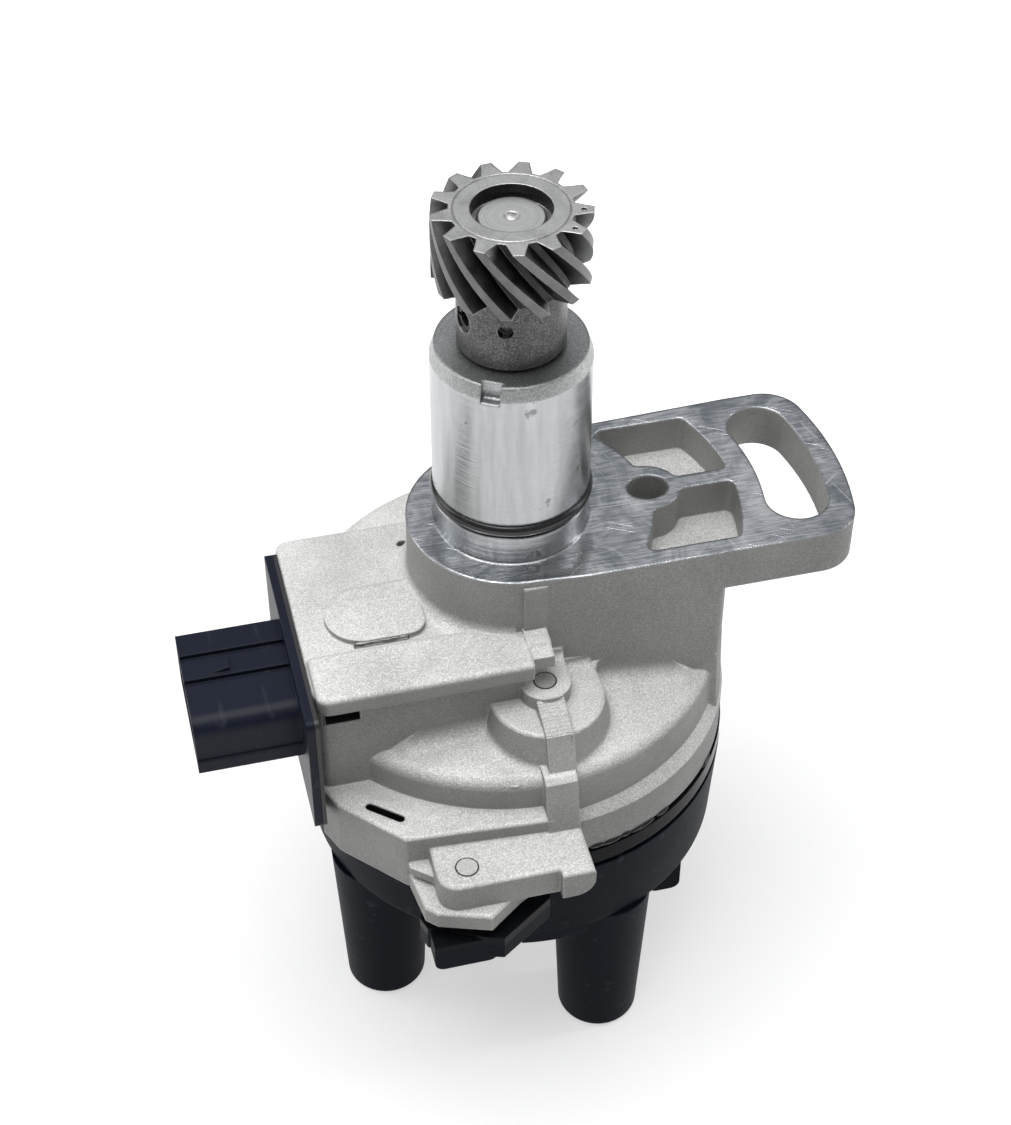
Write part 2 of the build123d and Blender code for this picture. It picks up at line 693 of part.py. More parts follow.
def coil_screw_places():
    """Y of the two coil screws, through the upper corners of the core."""
    return [CORE_Y[0] + CORE_LEG / 2, CORE_Y[1] - CORE_LEG / 2]


def housing_room():
    """Everything hollow inside the housing."""
    room = turned(BOWL_IN)
    neck_low = BOWL_IN[-1][1] - 3
    neck = disc(NECK_R, neck_low, ROOF_Z)
    neck = neck & block(-NECK_R, NECK_R, -NECK_HALF_Y, NECK_HALF_Y, neck_low, ROOF_Z)
    coil_room = block(BOX_LEFT - 1, COIL_ROOM_X, BOX_FRONT + BOX_WALL, BOX_BACK - BOX_WALL,
                      *COIL_ROOM_Z)
    pillars = [rod_x(COIL_PILLAR_R, CORE_X[1] + SEAT, COIL_ROOM_X + 1, y, COIL_SCREW_Z)
               for y in coil_screw_places()]
    for pillar in pillars:
        coil_room = coil_room - pillar
    room = room + neck + coil_room + block(*DRIVER_ROOM)
    room = room + disc(BOSS_ROOM_R, BOSS_ROOM_TOP - 9, BOSS_ROOM_TOP, D_BOSS_X, D_BOSS_Y)
    return room


def housing():
    """Cast housing with the pilot tube, arm, coil box and bowl in one piece."""
    tube = turned([(0, -1), (TUBE_R, -1), (TUBE_R, TUBE_CHAMFER_Z), (TUBE_TOP_R, TUBE_TOP),
                   (0, TUBE_TOP)])
    body = tube + disc(HUB_R, HUB_BOTTOM, 0) + arm() + web() + bossed_bowl() + coil_box()
    body = body + coves() + front_details() + rear_ear()
    body = body - housing_room()
    # Bores of the bush, seal and bearing
    body = body - disc(BUSH_R + FIT, BUSH_BOTTOM, TUBE_TOP + 1)
    body = body - disc(TUBE_BORE_R, SEAL_TOP - 1, BUSH_BOTTOM + 1)
    body = body - disc(SEAL_R + FIT, BEARING_TOP - 1, SEAL_TOP)
    body = body - disc(BEARING_R + FIT, ROOF_Z - 1, BEARING_TOP)
    # Groove of the O-ring and the notch in the top ring
    half = RING_GROOVE_WIDTH / 2
    floor = RING_OUTER_R - 2 * RING_SECTION_R
    body = body - ring(TUBE_R + 1, floor, RING_Z - half, RING_Z + half)
    notch = block(NOTCH_INNER_R, TUBE_R + 1, -NOTCH_WIDTH / 2, NOTCH_WIDTH / 2,
                  NOTCH_BOTTOM, TUBE_TOP + 1)
    body = body - Rot(0, 0, NOTCH_ANGLE) * notch
    # Oval hole of the arm and the small hole beside the hub
    oval = extrude(Ellipse(OVAL_HALF_X, OVAL_HALF_Y), OVAL_DEPTH + 1)
    body = body - Pos(OVAL_X, OVAL_Y, -OVAL_DEPTH) * oval
    body = body - disc(VENT_HOLE_R, BOX_TOP - VENT_HOLE_DEPTH, BOX_TOP + 1, *VENT_HOLE)
    # Threaded holes
    for x, y in cap_screw_places():
        body = body - disc(CAP_SCREW_R + SCREW_SLACK, RIM_Z - 1, BAR_TOP + 1, x, y)
    for x, y in bearing_screws_xy():
        body = body - disc(SMALL_SCREW_R + SCREW_SLACK, ROOF_Z - 1, ROOF_Z + SMALL_SCREW_GRIP + 1, x, y)
    for y in (-DRIVER_SCREW_Y, DRIVER_SCREW_Y):
        middle = sum(DRIVER_X) / 2
        body = body - disc(SMALL_SCREW_R + SCREW_SLACK, DRIVER_ROOM[5] - 1,
                           DRIVER_ROOM[5] + DRIVER_GRIP + 1, middle, y)
    for y in coil_screw_places():
        deep = CORE_X[1] + COIL_SCREW_GRIP + 1
        body = body - rod_x(SMALL_SCREW_R + SCREW_SLACK, CORE_X[1] - 1, deep, y, COIL_SCREW_Z)
    body = body - disc(PICKUP_SCREW_R + SCREW_SLACK, BOSS_ROOM_TOP - 1, BOSS_TOP + 1, 0, BOSS_Y)
    return body


def gear_section():
    """Outline of the toothed disc, straight flanks and rounded gullets."""
    points = []
    pitch = 360.0 / GEAR_TEETH
    middle = (GEAR_TIP_R + GEAR_ROOT_R) / 2
    for tooth in range(GEAR_TEETH):
        centre = GEAR_PHASE + tooth * pitch
        for r, half in ((GEAR_ROOT_R, -TOOTH_ROOT_HALF), (middle, -TOOTH_PITCH_HALF),
                        (GEAR_TIP_R, -TOOTH_TIP_HALF), (GEAR_TIP_R, TOOTH_TIP_HALF),
                        (middle, TOOTH_PITCH_HALF), (GEAR_ROOT_R, TOOTH_ROOT_HALF)):
            points.append(polar(r, centre + half))
    return Polygon(*points, align=None)


def drive_gear():
    """Helical gear with its hub, recess, punched marks and pin hole."""
    high = GEAR_TOP - GEAR_TEETH_Z
    twisted = Solid.extrude_linear_with_rotation(gear_section().face(), (0, 0, 0), (0, 0, -high),
                                                 GEAR_TWIST)
    teeth = Pos(0, 0, GEAR_TOP) * twisted
    body = teeth + disc(GEAR_HUB_R, GEAR_HUB_Z, GEAR_TEETH_Z + 1)
    body = body - disc(SHAFT_R + FIT, GEAR_HUB_Z - 1, GEAR_TOP + 1)
    body = body - disc(GEAR_RECESS_R, GEAR_TOP - GEAR_RECESS_DEPTH, GEAR_TOP + 1)
    body = body - ring(GEAR_FACE_LINE_R + FACE_LINE_WIDTH, GEAR_FACE_LINE_R,
                       GEAR_TOP - FACE_LINE_DEPTH, GEAR_TOP + 1)
    for tooth in PUNCH_TEETH:
        x, y = polar(PUNCH_CIRCLE_R, GEAR_PHASE + tooth * 360.0 / GEAR_TEETH)
        body = body - disc(PUNCH_R, GEAR_TOP - PUNCH_DEPTH, GEAR_TOP + 1, x, y)
    body = body - Rot(0, 0, PIN_ANGLE) * rod_x(PIN_R + FIT, -GEAR_HUB_R - 1, GEAR_HUB_R + 1, 0, PIN_Z)
    dimple = rod_x(DIMPLE_R, GEAR_HUB_R - DIMPLE_DEPTH, GEAR_HUB_R + 1, 0, DIMPLE_Z)
    return body - Rot(0, 0, DIMPLE_ANGLE) * dimple


def drive_shaft():
    """Shaft from the gear down to the rotor arm."""
    body = disc(SHAFT_R, SHAFT_STEP_Z, SHAFT_TOP)
    body = chamfer(body.edges().group_by(Axis.Z)[-1], SHAFT_CHAMFER)
    seat = disc(SHAFT_SEAT_R, SHAFT_END_Z, SHAFT_STEP_Z)
    flat = block(SHAFT_FLAT, SHAFT_SEAT_R + 1, -SHAFT_R, SHAFT_R, SHAFT_END_Z - 1, ROTOR_TOP)
    body = body + (seat - Rot(0, 0, ROTOR_ANGLE) * flat)
    drill = turned([(0, SHAFT_TOP - CENTRE_DRILL_DEPTH), (CENTRE_DRILL_R / 2, SHAFT_TOP - CENTRE_DRILL_R),
                    (CENTRE_DRILL_R, SHAFT_TOP), (CENTRE_DRILL_R, SHAFT_TOP + 1), (0, SHAFT_TOP + 1)])
    low = BEARING_TOP - BEARING_WIDE - RUN
    groove = ring(SHAFT_R + 1, CIRCLIP_GROOVE_R - FIT, low - CIRCLIP_THICK - 2 * FIT, low)
    pin_hole = Rot(0, 0, PIN_ANGLE) * rod_x(PIN_R + FIT, -SHAFT_R - 1, SHAFT_R + 1, 0, PIN_Z)
    return body - drill - groove - pin_hole


def gear_roll_pin():
    """Slit spring pin through the hub and the shaft."""
    tube = rod_x(PIN_R, -PIN_LENGTH / 2, PIN_LENGTH / 2, 0, PIN_Z)
    tube = tube - rod_x(PIN_BORE_R, -PIN_LENGTH, PIN_LENGTH, 0, PIN_Z)
    slit = block(-PIN_LENGTH, PIN_LENGTH, -PIN_R - 1, 0, PIN_Z - PIN_SLIT / 2, PIN_Z + PIN_SLIT / 2)
    return Rot(0, 0, PIN_ANGLE) * (tube - slit)


def thrust_washer():
    """Hard washer between the gear hub and the tube."""
    return ring(WASHER_R, SHAFT_R + RUN, GEAR_HUB_Z - FIT - WASHER_THICK, GEAR_HUB_Z - FIT)


def pilot_o_ring():
    """Rubber ring in the tube groove."""
    return Pos(0, 0, RING_Z) * Torus(RING_OUTER_R - RING_SECTION_R, RING_SECTION_R - FIT)


def upper_bush():
    """Sintered bush in the top of the tube."""
    body = ring(BUSH_R, SHAFT_R + RUN, BUSH_BOTTOM + FIT, BUSH_TOP)
    return chamfer(body.edges().group_by(Axis.Z)[-1].sort_by(SortBy.LENGTH)[-1], 0.4)


def oil_seal_case():
    """Steel case of the oil seal."""
    low = SEAL_TOP - SEAL_DEEP
    body = ring(SEAL_R, SEAL_R - 1, low, SEAL_TOP - FIT)
    return body + ring(SEAL_R - 0.5, TUBE_BORE_R + 1.5, SEAL_TOP - FIT - 1, SEAL_TOP - FIT)


def oil_seal_lip():
    """Rubber lip of the oil seal, running on the shaft."""
    low = SEAL_TOP - SEAL_DEEP
    top = SEAL_TOP - 1 - 2 * FIT
    case_in = SEAL_R - 1 - FIT
    touch = SHAFT_R + RUN
    return turned([(case_in, top), (case_in, top - 1.6), (touch + 2.4, top - 1.6),
                   (touch + 2.2, low + 1), (touch, low + 1.9), (touch + 1.2, top)])


def bearing_rings():
    """Outer and inner ring of the ball bearing, each with its ball track."""
    low = BEARING_TOP - BEARING_WIDE
    middle = (BEARING_TOP + low) / 2
    track = Pos(0, 0, middle) * Torus((BEARING_INNER_R + BEARING_OUTER_IN_R) / 2, BALL_R + SEAT)
    outer = ring(BEARING_R, BEARING_OUTER_IN_R, low, BEARING_TOP - FIT) - track
    inner = ring(BEARING_INNER_R, SHAFT_R + FIT, low, BEARING_TOP - FIT) - track
    return outer, inner


def ball_cage():
    """Balls and the flat cage that spaces them."""
    middle = BEARING_TOP - BEARING_WIDE / 2
    track_r = (BEARING_INNER_R + BEARING_OUTER_IN_R) / 2
    cage = ring(CAGE_R[1], CAGE_R[0], middle - CAGE_HALF, middle + CAGE_HALF)
    balls = []
    for i in range(BALL_COUNT):
        turn = (i + 0.5) * 360.0 / BALL_COUNT
        cage = cage - Rot(0, 0, turn) * rod_x(BALL_R + 2 * SEAT, CAGE_R[0] - 1, CAGE_R[1] + 1, 0, middle)
        balls.append(Pos(*polar(track_r, turn), middle) * Sphere(BALL_R))
    return cage, balls


def circlip():
    """Open snap ring under the bearing."""
    low = BEARING_TOP - BEARING_WIDE - RUN
    body = ring(CIRCLIP_R, CIRCLIP_GROOVE_R, low - CIRCLIP_THICK - FIT, low - FIT)
    gap = block(0, CIRCLIP_R + 1, -CIRCLIP_GAP, CIRCLIP_GAP, low - 3, low + 1)
    return body - gap


def bearing_retainer():
    """Plate that holds the outer ring of the bearing."""
    top = ROOF_Z - SEAT
    low = top - RETAINER_THICK
    body = disc(RETAINER_R, low, top)
    for x, y in bearing_screws_xy():
        body = body + disc(RETAINER_EAR_R, low, top, x, y)
    for x, y in bearing_screws_xy():
        body = body - disc(SMALL_SCREW_R + SCREW_SLACK, low - 1, top + 1, x, y)
    return body - disc(RETAINER_HOLE_R, low - 1, top + 1)


def screw_z(r, head_r, head, z_head, z_tip, x, y):
    """Round headed screw along Z with a cross recess, head down."""
    body = disc(r, z_head - 0.5, z_tip, x, y) + disc(head_r, z_head - head, z_head, x, y)
    low = z_head - head
    for turn in (0, 90):
        slot = Rot(0, 0, turn) * block(-head_r / 2, head_r / 2, -head_r / 8, head_r / 8,
                                       -1, head * 0.55)
        body = body - Pos(x, y, low) * slot
    return body


def retainer_screws():
    """Two small screws of the bearing retainer."""
    under = ROOF_Z - SEAT - RETAINER_THICK - FIT
    return [screw_z(SMALL_SCREW_R, SMALL_HEAD_R, SMALL_HEAD, under, ROOF_Z + SMALL_SCREW_GRIP, x, y)
            for x, y in bearing_screws_xy()]


def wheel_spacer():
    """Sleeve between the snap ring and the trigger wheel."""
    top = BEARING_TOP - BEARING_WIDE - RUN - CIRCLIP_THICK - 3 * FIT
    return ring(WHEEL_HUB_R, SHAFT_R + FIT, WHEEL_TOP + FIT, top)


def trigger_wheel():
    """Thin disc with one window for each cylinder."""
    low = WHEEL_TOP - WHEEL_THICK
    body = ring(WHEEL_R, SHAFT_R + FIT, low, WHEEL_TOP)
    for i in range(WINDOW_COUNT):
        start = ROTOR_ANGLE + i * 360.0 / WINDOW_COUNT - WINDOW_SPAN / 2
        fan = wedge(2 * WHEEL_R, start, start + WINDOW_SPAN)
        window = (Circle(WINDOW_OUT_R) - Circle(WINDOW_IN_R)) & Polygon(*fan, align=None)
        body = body - Pos(0, 0, low - 1) * extrude(window, WHEEL_THICK + 2)
    return body


def wheel_nut():
    """Ring nut that clamps the trigger wheel."""
    top = WHEEL_TOP - WHEEL_THICK - FIT
    body = ring(WHEEL_NUT_R, SHAFT_R + FIT, top - WHEEL_NUT_HIGH, top)
    for turn in range(0, 360, 60):
        notch = block(WHEEL_NUT_R - 1.2, WHEEL_NUT_R + 1, -1, 1, top - WHEEL_NUT_HIGH - 1, top - 1.5)
        body = body - Rot(0, 0, turn) * notch
    return body


def pickup():
    """Fork shaped sensor over the rim of the trigger wheel."""
    y0, y1 = PICKUP_Y
    z0, z1 = PICKUP_Z
    body = block(-PICKUP_HALF_X, PICKUP_HALF_X, y0, y1, z0, z1)
    body = body - block(-PICKUP_HALF_X - 1, PICKUP_HALF_X + 1, PICKUP_THROAT_Y, y1 + 1,
                        *PICKUP_THROAT_Z)
    body = body + disc(PICKUP_POST_R, z1 - 1, BOSS_ROOM_TOP - SEAT, 0, BOSS_Y)
    body = body - disc(PICKUP_SCREW_R + SCREW_SLACK, z0 - 1, BOSS_ROOM_TOP + 1, 0, BOSS_Y)
    return body - disc(PICKUP_HEAD_R + APART, z0 - 1, z0 + PICKUP_HEAD + SEAT, 0, BOSS_Y)


def pickup_screw():
    """Long screw up through the pickup, its end showing on the front boss."""
    head_top = PICKUP_Z[0] + PICKUP_HEAD
    return screw_z(PICKUP_SCREW_R, PICKUP_HEAD_R, PICKUP_HEAD, head_top, BOSS_TOP + 0.1, 0, BOSS_Y)


def driver_module():
    """Flat block that switches the coil, under the pedestal roof."""
    z0, z1 = DRIVER_Z
    body = block(*DRIVER_X, -DRIVER_HALF_Y, DRIVER_HALF_Y, z0, z1)
    body = fillet(body.edges().filter_by(Axis.Z), 1.0)
    for y in (-DRIVER_SCREW_Y, DRIVER_SCREW_Y):
        body = body - disc(SMALL_SCREW_R + SCREW_SLACK, z0 - 1, z1 + 1, sum(DRIVER_X) / 2, y)
    return body


def driver_screws():
    """Two small screws of the driver module."""
    tip = DRIVER_ROOM[5] + DRIVER_GRIP
    return [screw_z(SMALL_SCREW_R, SMALL_HEAD_R, SMALL_HEAD, DRIVER_Z[0] - FIT, tip,
                    sum(DRIVER_X) / 2, y) for y in (-DRIVER_SCREW_Y, DRIVER_SCREW_Y)]


def coil_core():
    """Laminated iron frame with its middle leg."""
    body = block(*CORE_X, *CORE_Y, *CORE_Z)
    middle = (CORE_Z[0] + CORE_Z[1]) / 2
    inner_y = (CORE_Y[0] + CORE_LEG, CORE_Y[1] - CORE_LEG)
    body = body - block(CORE_X[0] - 1, CORE_X[1] + 1, *inner_y, CORE_Z[0] + CORE_LEG,
                        middle - CORE_MIDDLE)
    body = body - block(CORE_X[0] - 1, CORE_X[1] + 1, *inner_y, middle + CORE_MIDDLE,
                        CORE_Z[1] - CORE_LEG)
    for y in coil_screw_places():
        body = body - rod_x(SMALL_SCREW_R + SCREW_SLACK, CORE_X[0] - 1, CORE_X[1] + 1, y, COIL_SCREW_Z)
    return body


def coil_winding():
    """Potted winding round the middle leg, with its high voltage post."""
    y0, y1 = CORE_Y[0] + CORE_LEG + APART, CORE_Y[1] - CORE_LEG - APART
    z0, z1 = CORE_Z[0] + CORE_LEG + APART, CORE_Z[1] - CORE_LEG - APART
    middle = (CORE_Z[0] + CORE_Z[1]) / 2
    body = block(*WINDING_X, y0, y1, z0, z1)
    body = body - block(CORE_X[0] - 1, CORE_X[1] + SEAT, y0 - 1, y1 + 1,
                        middle - CORE_MIDDLE - SEAT, middle + CORE_MIDDLE + SEAT)
    post = disc(COIL_POST_R, COIL_POST_END, z0 + 1, *COIL_POST)
    return body + post - disc(COIL_PIN_R + FIT, COIL_POST_END - 1, z0 + 2, *COIL_POST)


def coil_pin():
    """Brass pin from the winding to the cap."""
    top = CORE_Z[0] + CORE_LEG + APART + 2 - SEAT
    return disc(COIL_PIN_R, COIL_PIN_END, top, *COIL_POST)


def coil_screws():
    """Two screws through the core into the housing posts."""
    body = rod_x(SMALL_SCREW_R, CORE_X[0] - 0.5, CORE_X[1] + COIL_SCREW_GRIP, 0, 0)
    body = body + rod_x(SMALL_HEAD_R, CORE_X[0] - FIT - 1, CORE_X[0] - FIT, 0, 0)
    slot = block(CORE_X[0] - 2, CORE_X[0] - 0.6, -SMALL_HEAD_R - 1, SMALL_HEAD_R + 1, -0.35, 0.35)
    return [Pos(0, y, COIL_SCREW_Z) * (body - slot) for y in coil_screw_places()]


def dust_shield():
    """Flat cover between the trigger room and the cap."""
    top = BOWL_LEDGE_Z - SEAT
    body = ring(BOWL_LEDGE_R - SEAT * 2, SHIELD_HOLE_R, top - SHIELD_THICK, top)
    return body - disc(SHIELD_POST_R, top - SHIELD_THICK - 1, top + 1, *COIL_POST)


def cap_seal():
    """Flat rubber ring between the rim and the cap."""
    return ring(GASKET_OUT_R, GASKET_IN_R, CAP_TOP + SEAT, RIM_Z - SEAT)


def tower_places():
    """Centres of the lead towers."""
    return [polar(TOWER_CIRCLE_R, TOWER_FIRST + i * 360.0 / TOWER_COUNT) for i in range(TOWER_COUNT)]


def cap_ear():
    """Ear of the cap with the block that hides the screw head."""
    ear = slab(EAR_EDGE, EAR_BOTTOM, EAR_TOP)
    x0, x1, y0, y1 = EAR_BLOCK
    hanging = block(x0, x1, y0, y1, EAR_BLOCK_Z, EAR_TOP - 1)
    low = [e for e in hanging.edges().group_by(Axis.Z)[0].filter_by(Axis.Y)]
    hanging = fillet(low, EAR_BLOCK_R)
    ear = ear + hanging
    ear = ear - disc(CAP_SCREW_R + 2 * SCREW_SLACK, EAR_BLOCK_Z - 1, EAR_TOP + 1, CAP_SCREW_X, CAP_SCREW_Y)
    return ear - disc(HEAD_POCKET_R, EAR_BLOCK_Z - 1, HEAD_POCKET_Z, CAP_SCREW_X, CAP_SCREW_Y)


def cap():
    """Moulded cap with four lead towers, two ears and the coil column."""
    wall = turned([(0, CAP_TOP), (CAP_RIM_R, CAP_TOP), (CAP_RIM_R, CAP_BAND_Z),
                   (CAP_RIM_R - CAP_GROOVE, CAP_BAND_Z), (CAP_RIM_R - CAP_GROOVE, CAP_GROOVE_Z),
                   (CAP_SHELL_R, CAP_GROOVE_Z), (CAP_EDGE_R, CAP_EDGE_Z), (CAP_END_R, CAP_END_Z),
                   (0, CAP_END_Z)])
    edge = [e for e in wall.edges().filter_by(GeomType.CIRCLE) if abs(e.center().Z - CAP_EDGE_Z) < FIT]
    wall = fillet(edge, CAP_EDGE_FILLET)
    skirt = disc(CAP_EDGE_R, SKIRT_Z, CAP_EDGE_Z + CAP_EDGE_FILLET)
    wall = wall + (skirt & block(*SKIRT_X, -PAST, -CAP_END_R, SKIRT_Z, 0))
    body = wall
    for x, y in tower_places():
        head_r = TOWER_END_R + TOWER_TAPER * (TOWER_HEAD_Z - TOWER_END)
        tower = turned([(0, TOWER_END), (TOWER_END_R, TOWER_END), (head_r, TOWER_HEAD_Z),
                        (0, TOWER_HEAD_Z)])
        tower = fillet(tower.edges().group_by(Axis.Z)[0], TOWER_EDGE_R)
        body = body + Pos(x, y, 0) * tower
    ear = cap_ear()
    body = body + ear + half_turn(ear)
    x0, x1, y0, y1 = SIDE_LUG
    lug = block(x0, x1, y0, y1, SIDE_LUG_Z, CAP_END_Z + 5)
    lug = fillet(lug.edges().group_by(Axis.Z)[0].filter_by(Axis.Y), SIDE_LUG_R)
    body = body + lug
    # Inner room with the spigot left standing above it
    in_r = SPIGOT_R - SPIGOT_WALL
    low_r = CAP_EDGE_R - CAP_WALL
    room = turned([(0, RIM_Z), (in_r, RIM_Z), (in_r, CAP_GROOVE_Z - CAP_WALL),
                   (low_r, CAP_GROOVE_Z - 2 * CAP_WALL), (low_r, CAP_EDGE_Z + CAP_WALL),
                   (CAP_END_R - CAP_WALL, CAP_END_Z + CAP_FLOOR), (0, CAP_END_Z + CAP_FLOOR)])
    body = body + disc(SPIGOT_R, CAP_GROOVE_Z, RIM_Z + SPIGOT_RISE) - room
    body = body - disc(in_r, CAP_GROOVE_Z, RIM_Z + SPIGOT_RISE + 1)
    # Column of the coil pin and holder of the brush
    floor = CAP_END_Z + CAP_FLOOR - 1
    body = body + disc(COLUMN_R, floor, COLUMN_TOP, *COIL_POST)
    body = body + disc(HOLDER_R, floor, HOLDER_TOP)
    # Sockets, terminals, brush and strip
    for x, y in tower_places():
        body = body - disc(SOCKET_R, TOWER_END - 1, TOWER_END + SOCKET_DEEP, x, y)
        body = body - disc(CUP_R, TOWER_END, TOWER_END + SOCKET_DEEP + CUP_DEEP, x, y)
        body = body - disc(TERMINAL_ROD_R + FIT, TOWER_END, TERMINAL_TOP + 1, x, y)
    body = body - disc(BRUSH_R + RUN, STRIP_Z[1], HOLDER_TOP + 1)
    body = body - disc(COIL_PIN_R + FIT, STRIP_Z[0], COLUMN_TOP + 1, *COIL_POST)
    return body - strip_room()


def strip_room():
    """Room of the moulded in strip between the coil pin and the brush."""
    x, y = COIL_POST
    turn = math.degrees(math.atan2(y, x))
    long = math.hypot(x, y)
    bar_room = block(0, long, -STRIP_HALF - FIT, STRIP_HALF + FIT, STRIP_Z[0] - FIT, STRIP_Z[1])
    return Rot(0, 0, turn) * bar_room + disc(BRUSH_R + RUN, STRIP_Z[0] - FIT, STRIP_Z[1])


def cap_strip():
    """Brass strip in the cap from the coil pin to the brush spring."""
    x, y = COIL_POST
    turn = math.degrees(math.atan2(y, x))
    long = math.hypot(x, y)
    body = Rot(0, 0, turn) * block(0, long, -STRIP_HALF, STRIP_HALF, STRIP_Z[0], STRIP_Z[1] - FIT)
    body = body + disc(BRUSH_R, STRIP_Z[0], STRIP_Z[1] - FIT)
    return body + disc(COIL_PIN_R, STRIP_Z[0], COIL_PIN_END - SEAT, x, y)


def tower_terminals():
    """Four terminals, each with an inner vane, a rod and a cup in its socket."""
    bottom = TOWER_END + SOCKET_DEEP + CUP_DEEP - FIT
    body = disc(TERMINAL_ROD_R, bottom - 1, TERMINAL_TOP, TOWER_CIRCLE_R, 0)
    vane = block(TERMINAL_VANE_R, TOWER_CIRCLE_R, -TERMINAL_VANE_HALF, TERMINAL_VANE_HALF,
                 TERMINAL_VANE_LOW, TERMINAL_TOP)
    cup = disc(CUP_R - FIT, bottom - CUP_DEEP + APART, bottom, TOWER_CIRCLE_R, 0)
    cup = cup - disc(TERMINAL_CUP_R, bottom - CUP_DEEP - 1, bottom - 1, TOWER_CIRCLE_R, 0)
    body = body + vane + cup
    return [Rot(0, 0, TOWER_FIRST + i * 360.0 / TOWER_COUNT) * body for i in range(TOWER_COUNT)]


def carbon_brush():
    """Round carbon brush with a thin tail inside its spring."""
    body = disc(BRUSH_R, BRUSH_TOP - BRUSH_LENGTH, BRUSH_TOP)
    low = BRUSH_TOP - BRUSH_LENGTH
    return body + disc(BRUSH_STEM_R, low - BRUSH_STEM, low)


def brush_spring():
    """Small coil spring that pushes the brush at the rotor."""
    low = STRIP_Z[1] + SPRING_WIRE_R
    high = BRUSH_TOP - BRUSH_LENGTH - SPRING_WIRE_R - FIT
    path = Helix((high - low) / SPRING_TURNS, high - low, SPRING_R)
    start = Plane(origin=path @ 0, z_dir=path % 0)
    wire = sweep(start * Circle(SPRING_WIRE_R), path)
    return Pos(0, 0, low) * wire


def rotor_arm():
    """Moulded rotor arm on the flat of the shaft."""
    body = disc(ROTOR_HUB_R, ROTOR_LOW, ROTOR_TOP)
    body = body + block(0, ELECTRODE_R - ELECTRODE_TIP - FIT, -ROTOR_ARM_HALF, ROTOR_ARM_HALF,
                        ROTOR_LOW, ROTOR_LOW + ROTOR_ARM_THICK)
    tail = disc(ROTOR_TAIL_R, ROTOR_LOW, ROTOR_LOW + ROTOR_ARM_THICK)
    tail = tail & block(-ROTOR_TAIL_R, 0, -ROTOR_TAIL_R, ROTOR_TAIL_R, ROTOR_LOW, ROTOR_TOP)
    body = body + tail
    bore = disc(SHAFT_SEAT_R + FIT, ROTOR_BORE_END, ROTOR_TOP + 1)
    bore = bore & block(-9, SHAFT_FLAT + FIT, -9, 9, ROTOR_LOW, ROTOR_TOP + 1)
    body = body - bore
    body = body - rod_x(SET_SCREW_R + SCREW_SLACK, SHAFT_FLAT, ROTOR_HUB_R + 1, 0, SET_SCREW_Z)
    return Rot(0, 0, ROTOR_ANGLE) * body


def rotor_electrode():
    """Brass strip of the rotor with its turned up tip."""
    body = block(0, ELECTRODE_R, -ELECTRODE_HALF, ELECTRODE_HALF, ELECTRODE_LOW, ROTOR_LOW - FIT)
    body = body + disc(ELECTRODE_HALF, ELECTRODE_LOW, ROTOR_LOW - FIT)
    tip = block(ELECTRODE_R - ELECTRODE_TIP, ELECTRODE_R, -ROTOR_ARM_HALF, ROTOR_ARM_HALF,
                ELECTRODE_LOW, ELECTRODE_TIP_TOP)
    return Rot(0, 0, ROTOR_ANGLE) * (body + tip)


def rotor_set_screw():
    """Screw that clamps the rotor on the shaft flat."""
    body = rod_x(SET_SCREW_R, SHAFT_FLAT + SEAT, ROTOR_HUB_R + 0.3, 0, SET_SCREW_Z)
    slot = block(ROTOR_HUB_R - 0.9, ROTOR_HUB_R + 1, -SET_SCREW_R, SET_SCREW_R,
                 SET_SCREW_Z - 0.3, SET_SCREW_Z + 0.3)
    return Rot(0, 0, ROTOR_ANGLE) * (body - slot)


def cap_screws():
    """Two long screws that hold the cap."""
    screws = []
    for x, y in cap_screw_places():
        head_low = HEAD_POCKET_Z - FIT - CAP_SCREW_HEAD
        head = Pos(x, y, head_low) * extrude(RegularPolygon(CAP_SCREW_HEAD_R, 6), CAP_SCREW_HEAD)
        shank = disc(CAP_SCREW_R, head_low + 1, BAR_TOP + 0.1, x, y)
        screws.append(head + shank)
    return screws


def plate_blank(x0, x1):
    """Rounded oblong of the connector plate and its gasket."""
    body = block(x0, x1, *PLATE_Y, *PLATE_Z)
    return fillet(body.edges().filter_by(Axis.X), PLATE_CORNER_R)


def plate_gasket():
    """Thin gasket under the connector plate."""
    body = plate_blank(BOX_LEFT - GASKET_THICK, BOX_LEFT - FIT)
    opening = block(BOX_LEFT - 5, BOX_LEFT + 5, BOX_FRONT + BOX_WALL, BOX_BACK - BOX_WALL - 2,
                    *COIL_ROOM_Z)
    return body - opening


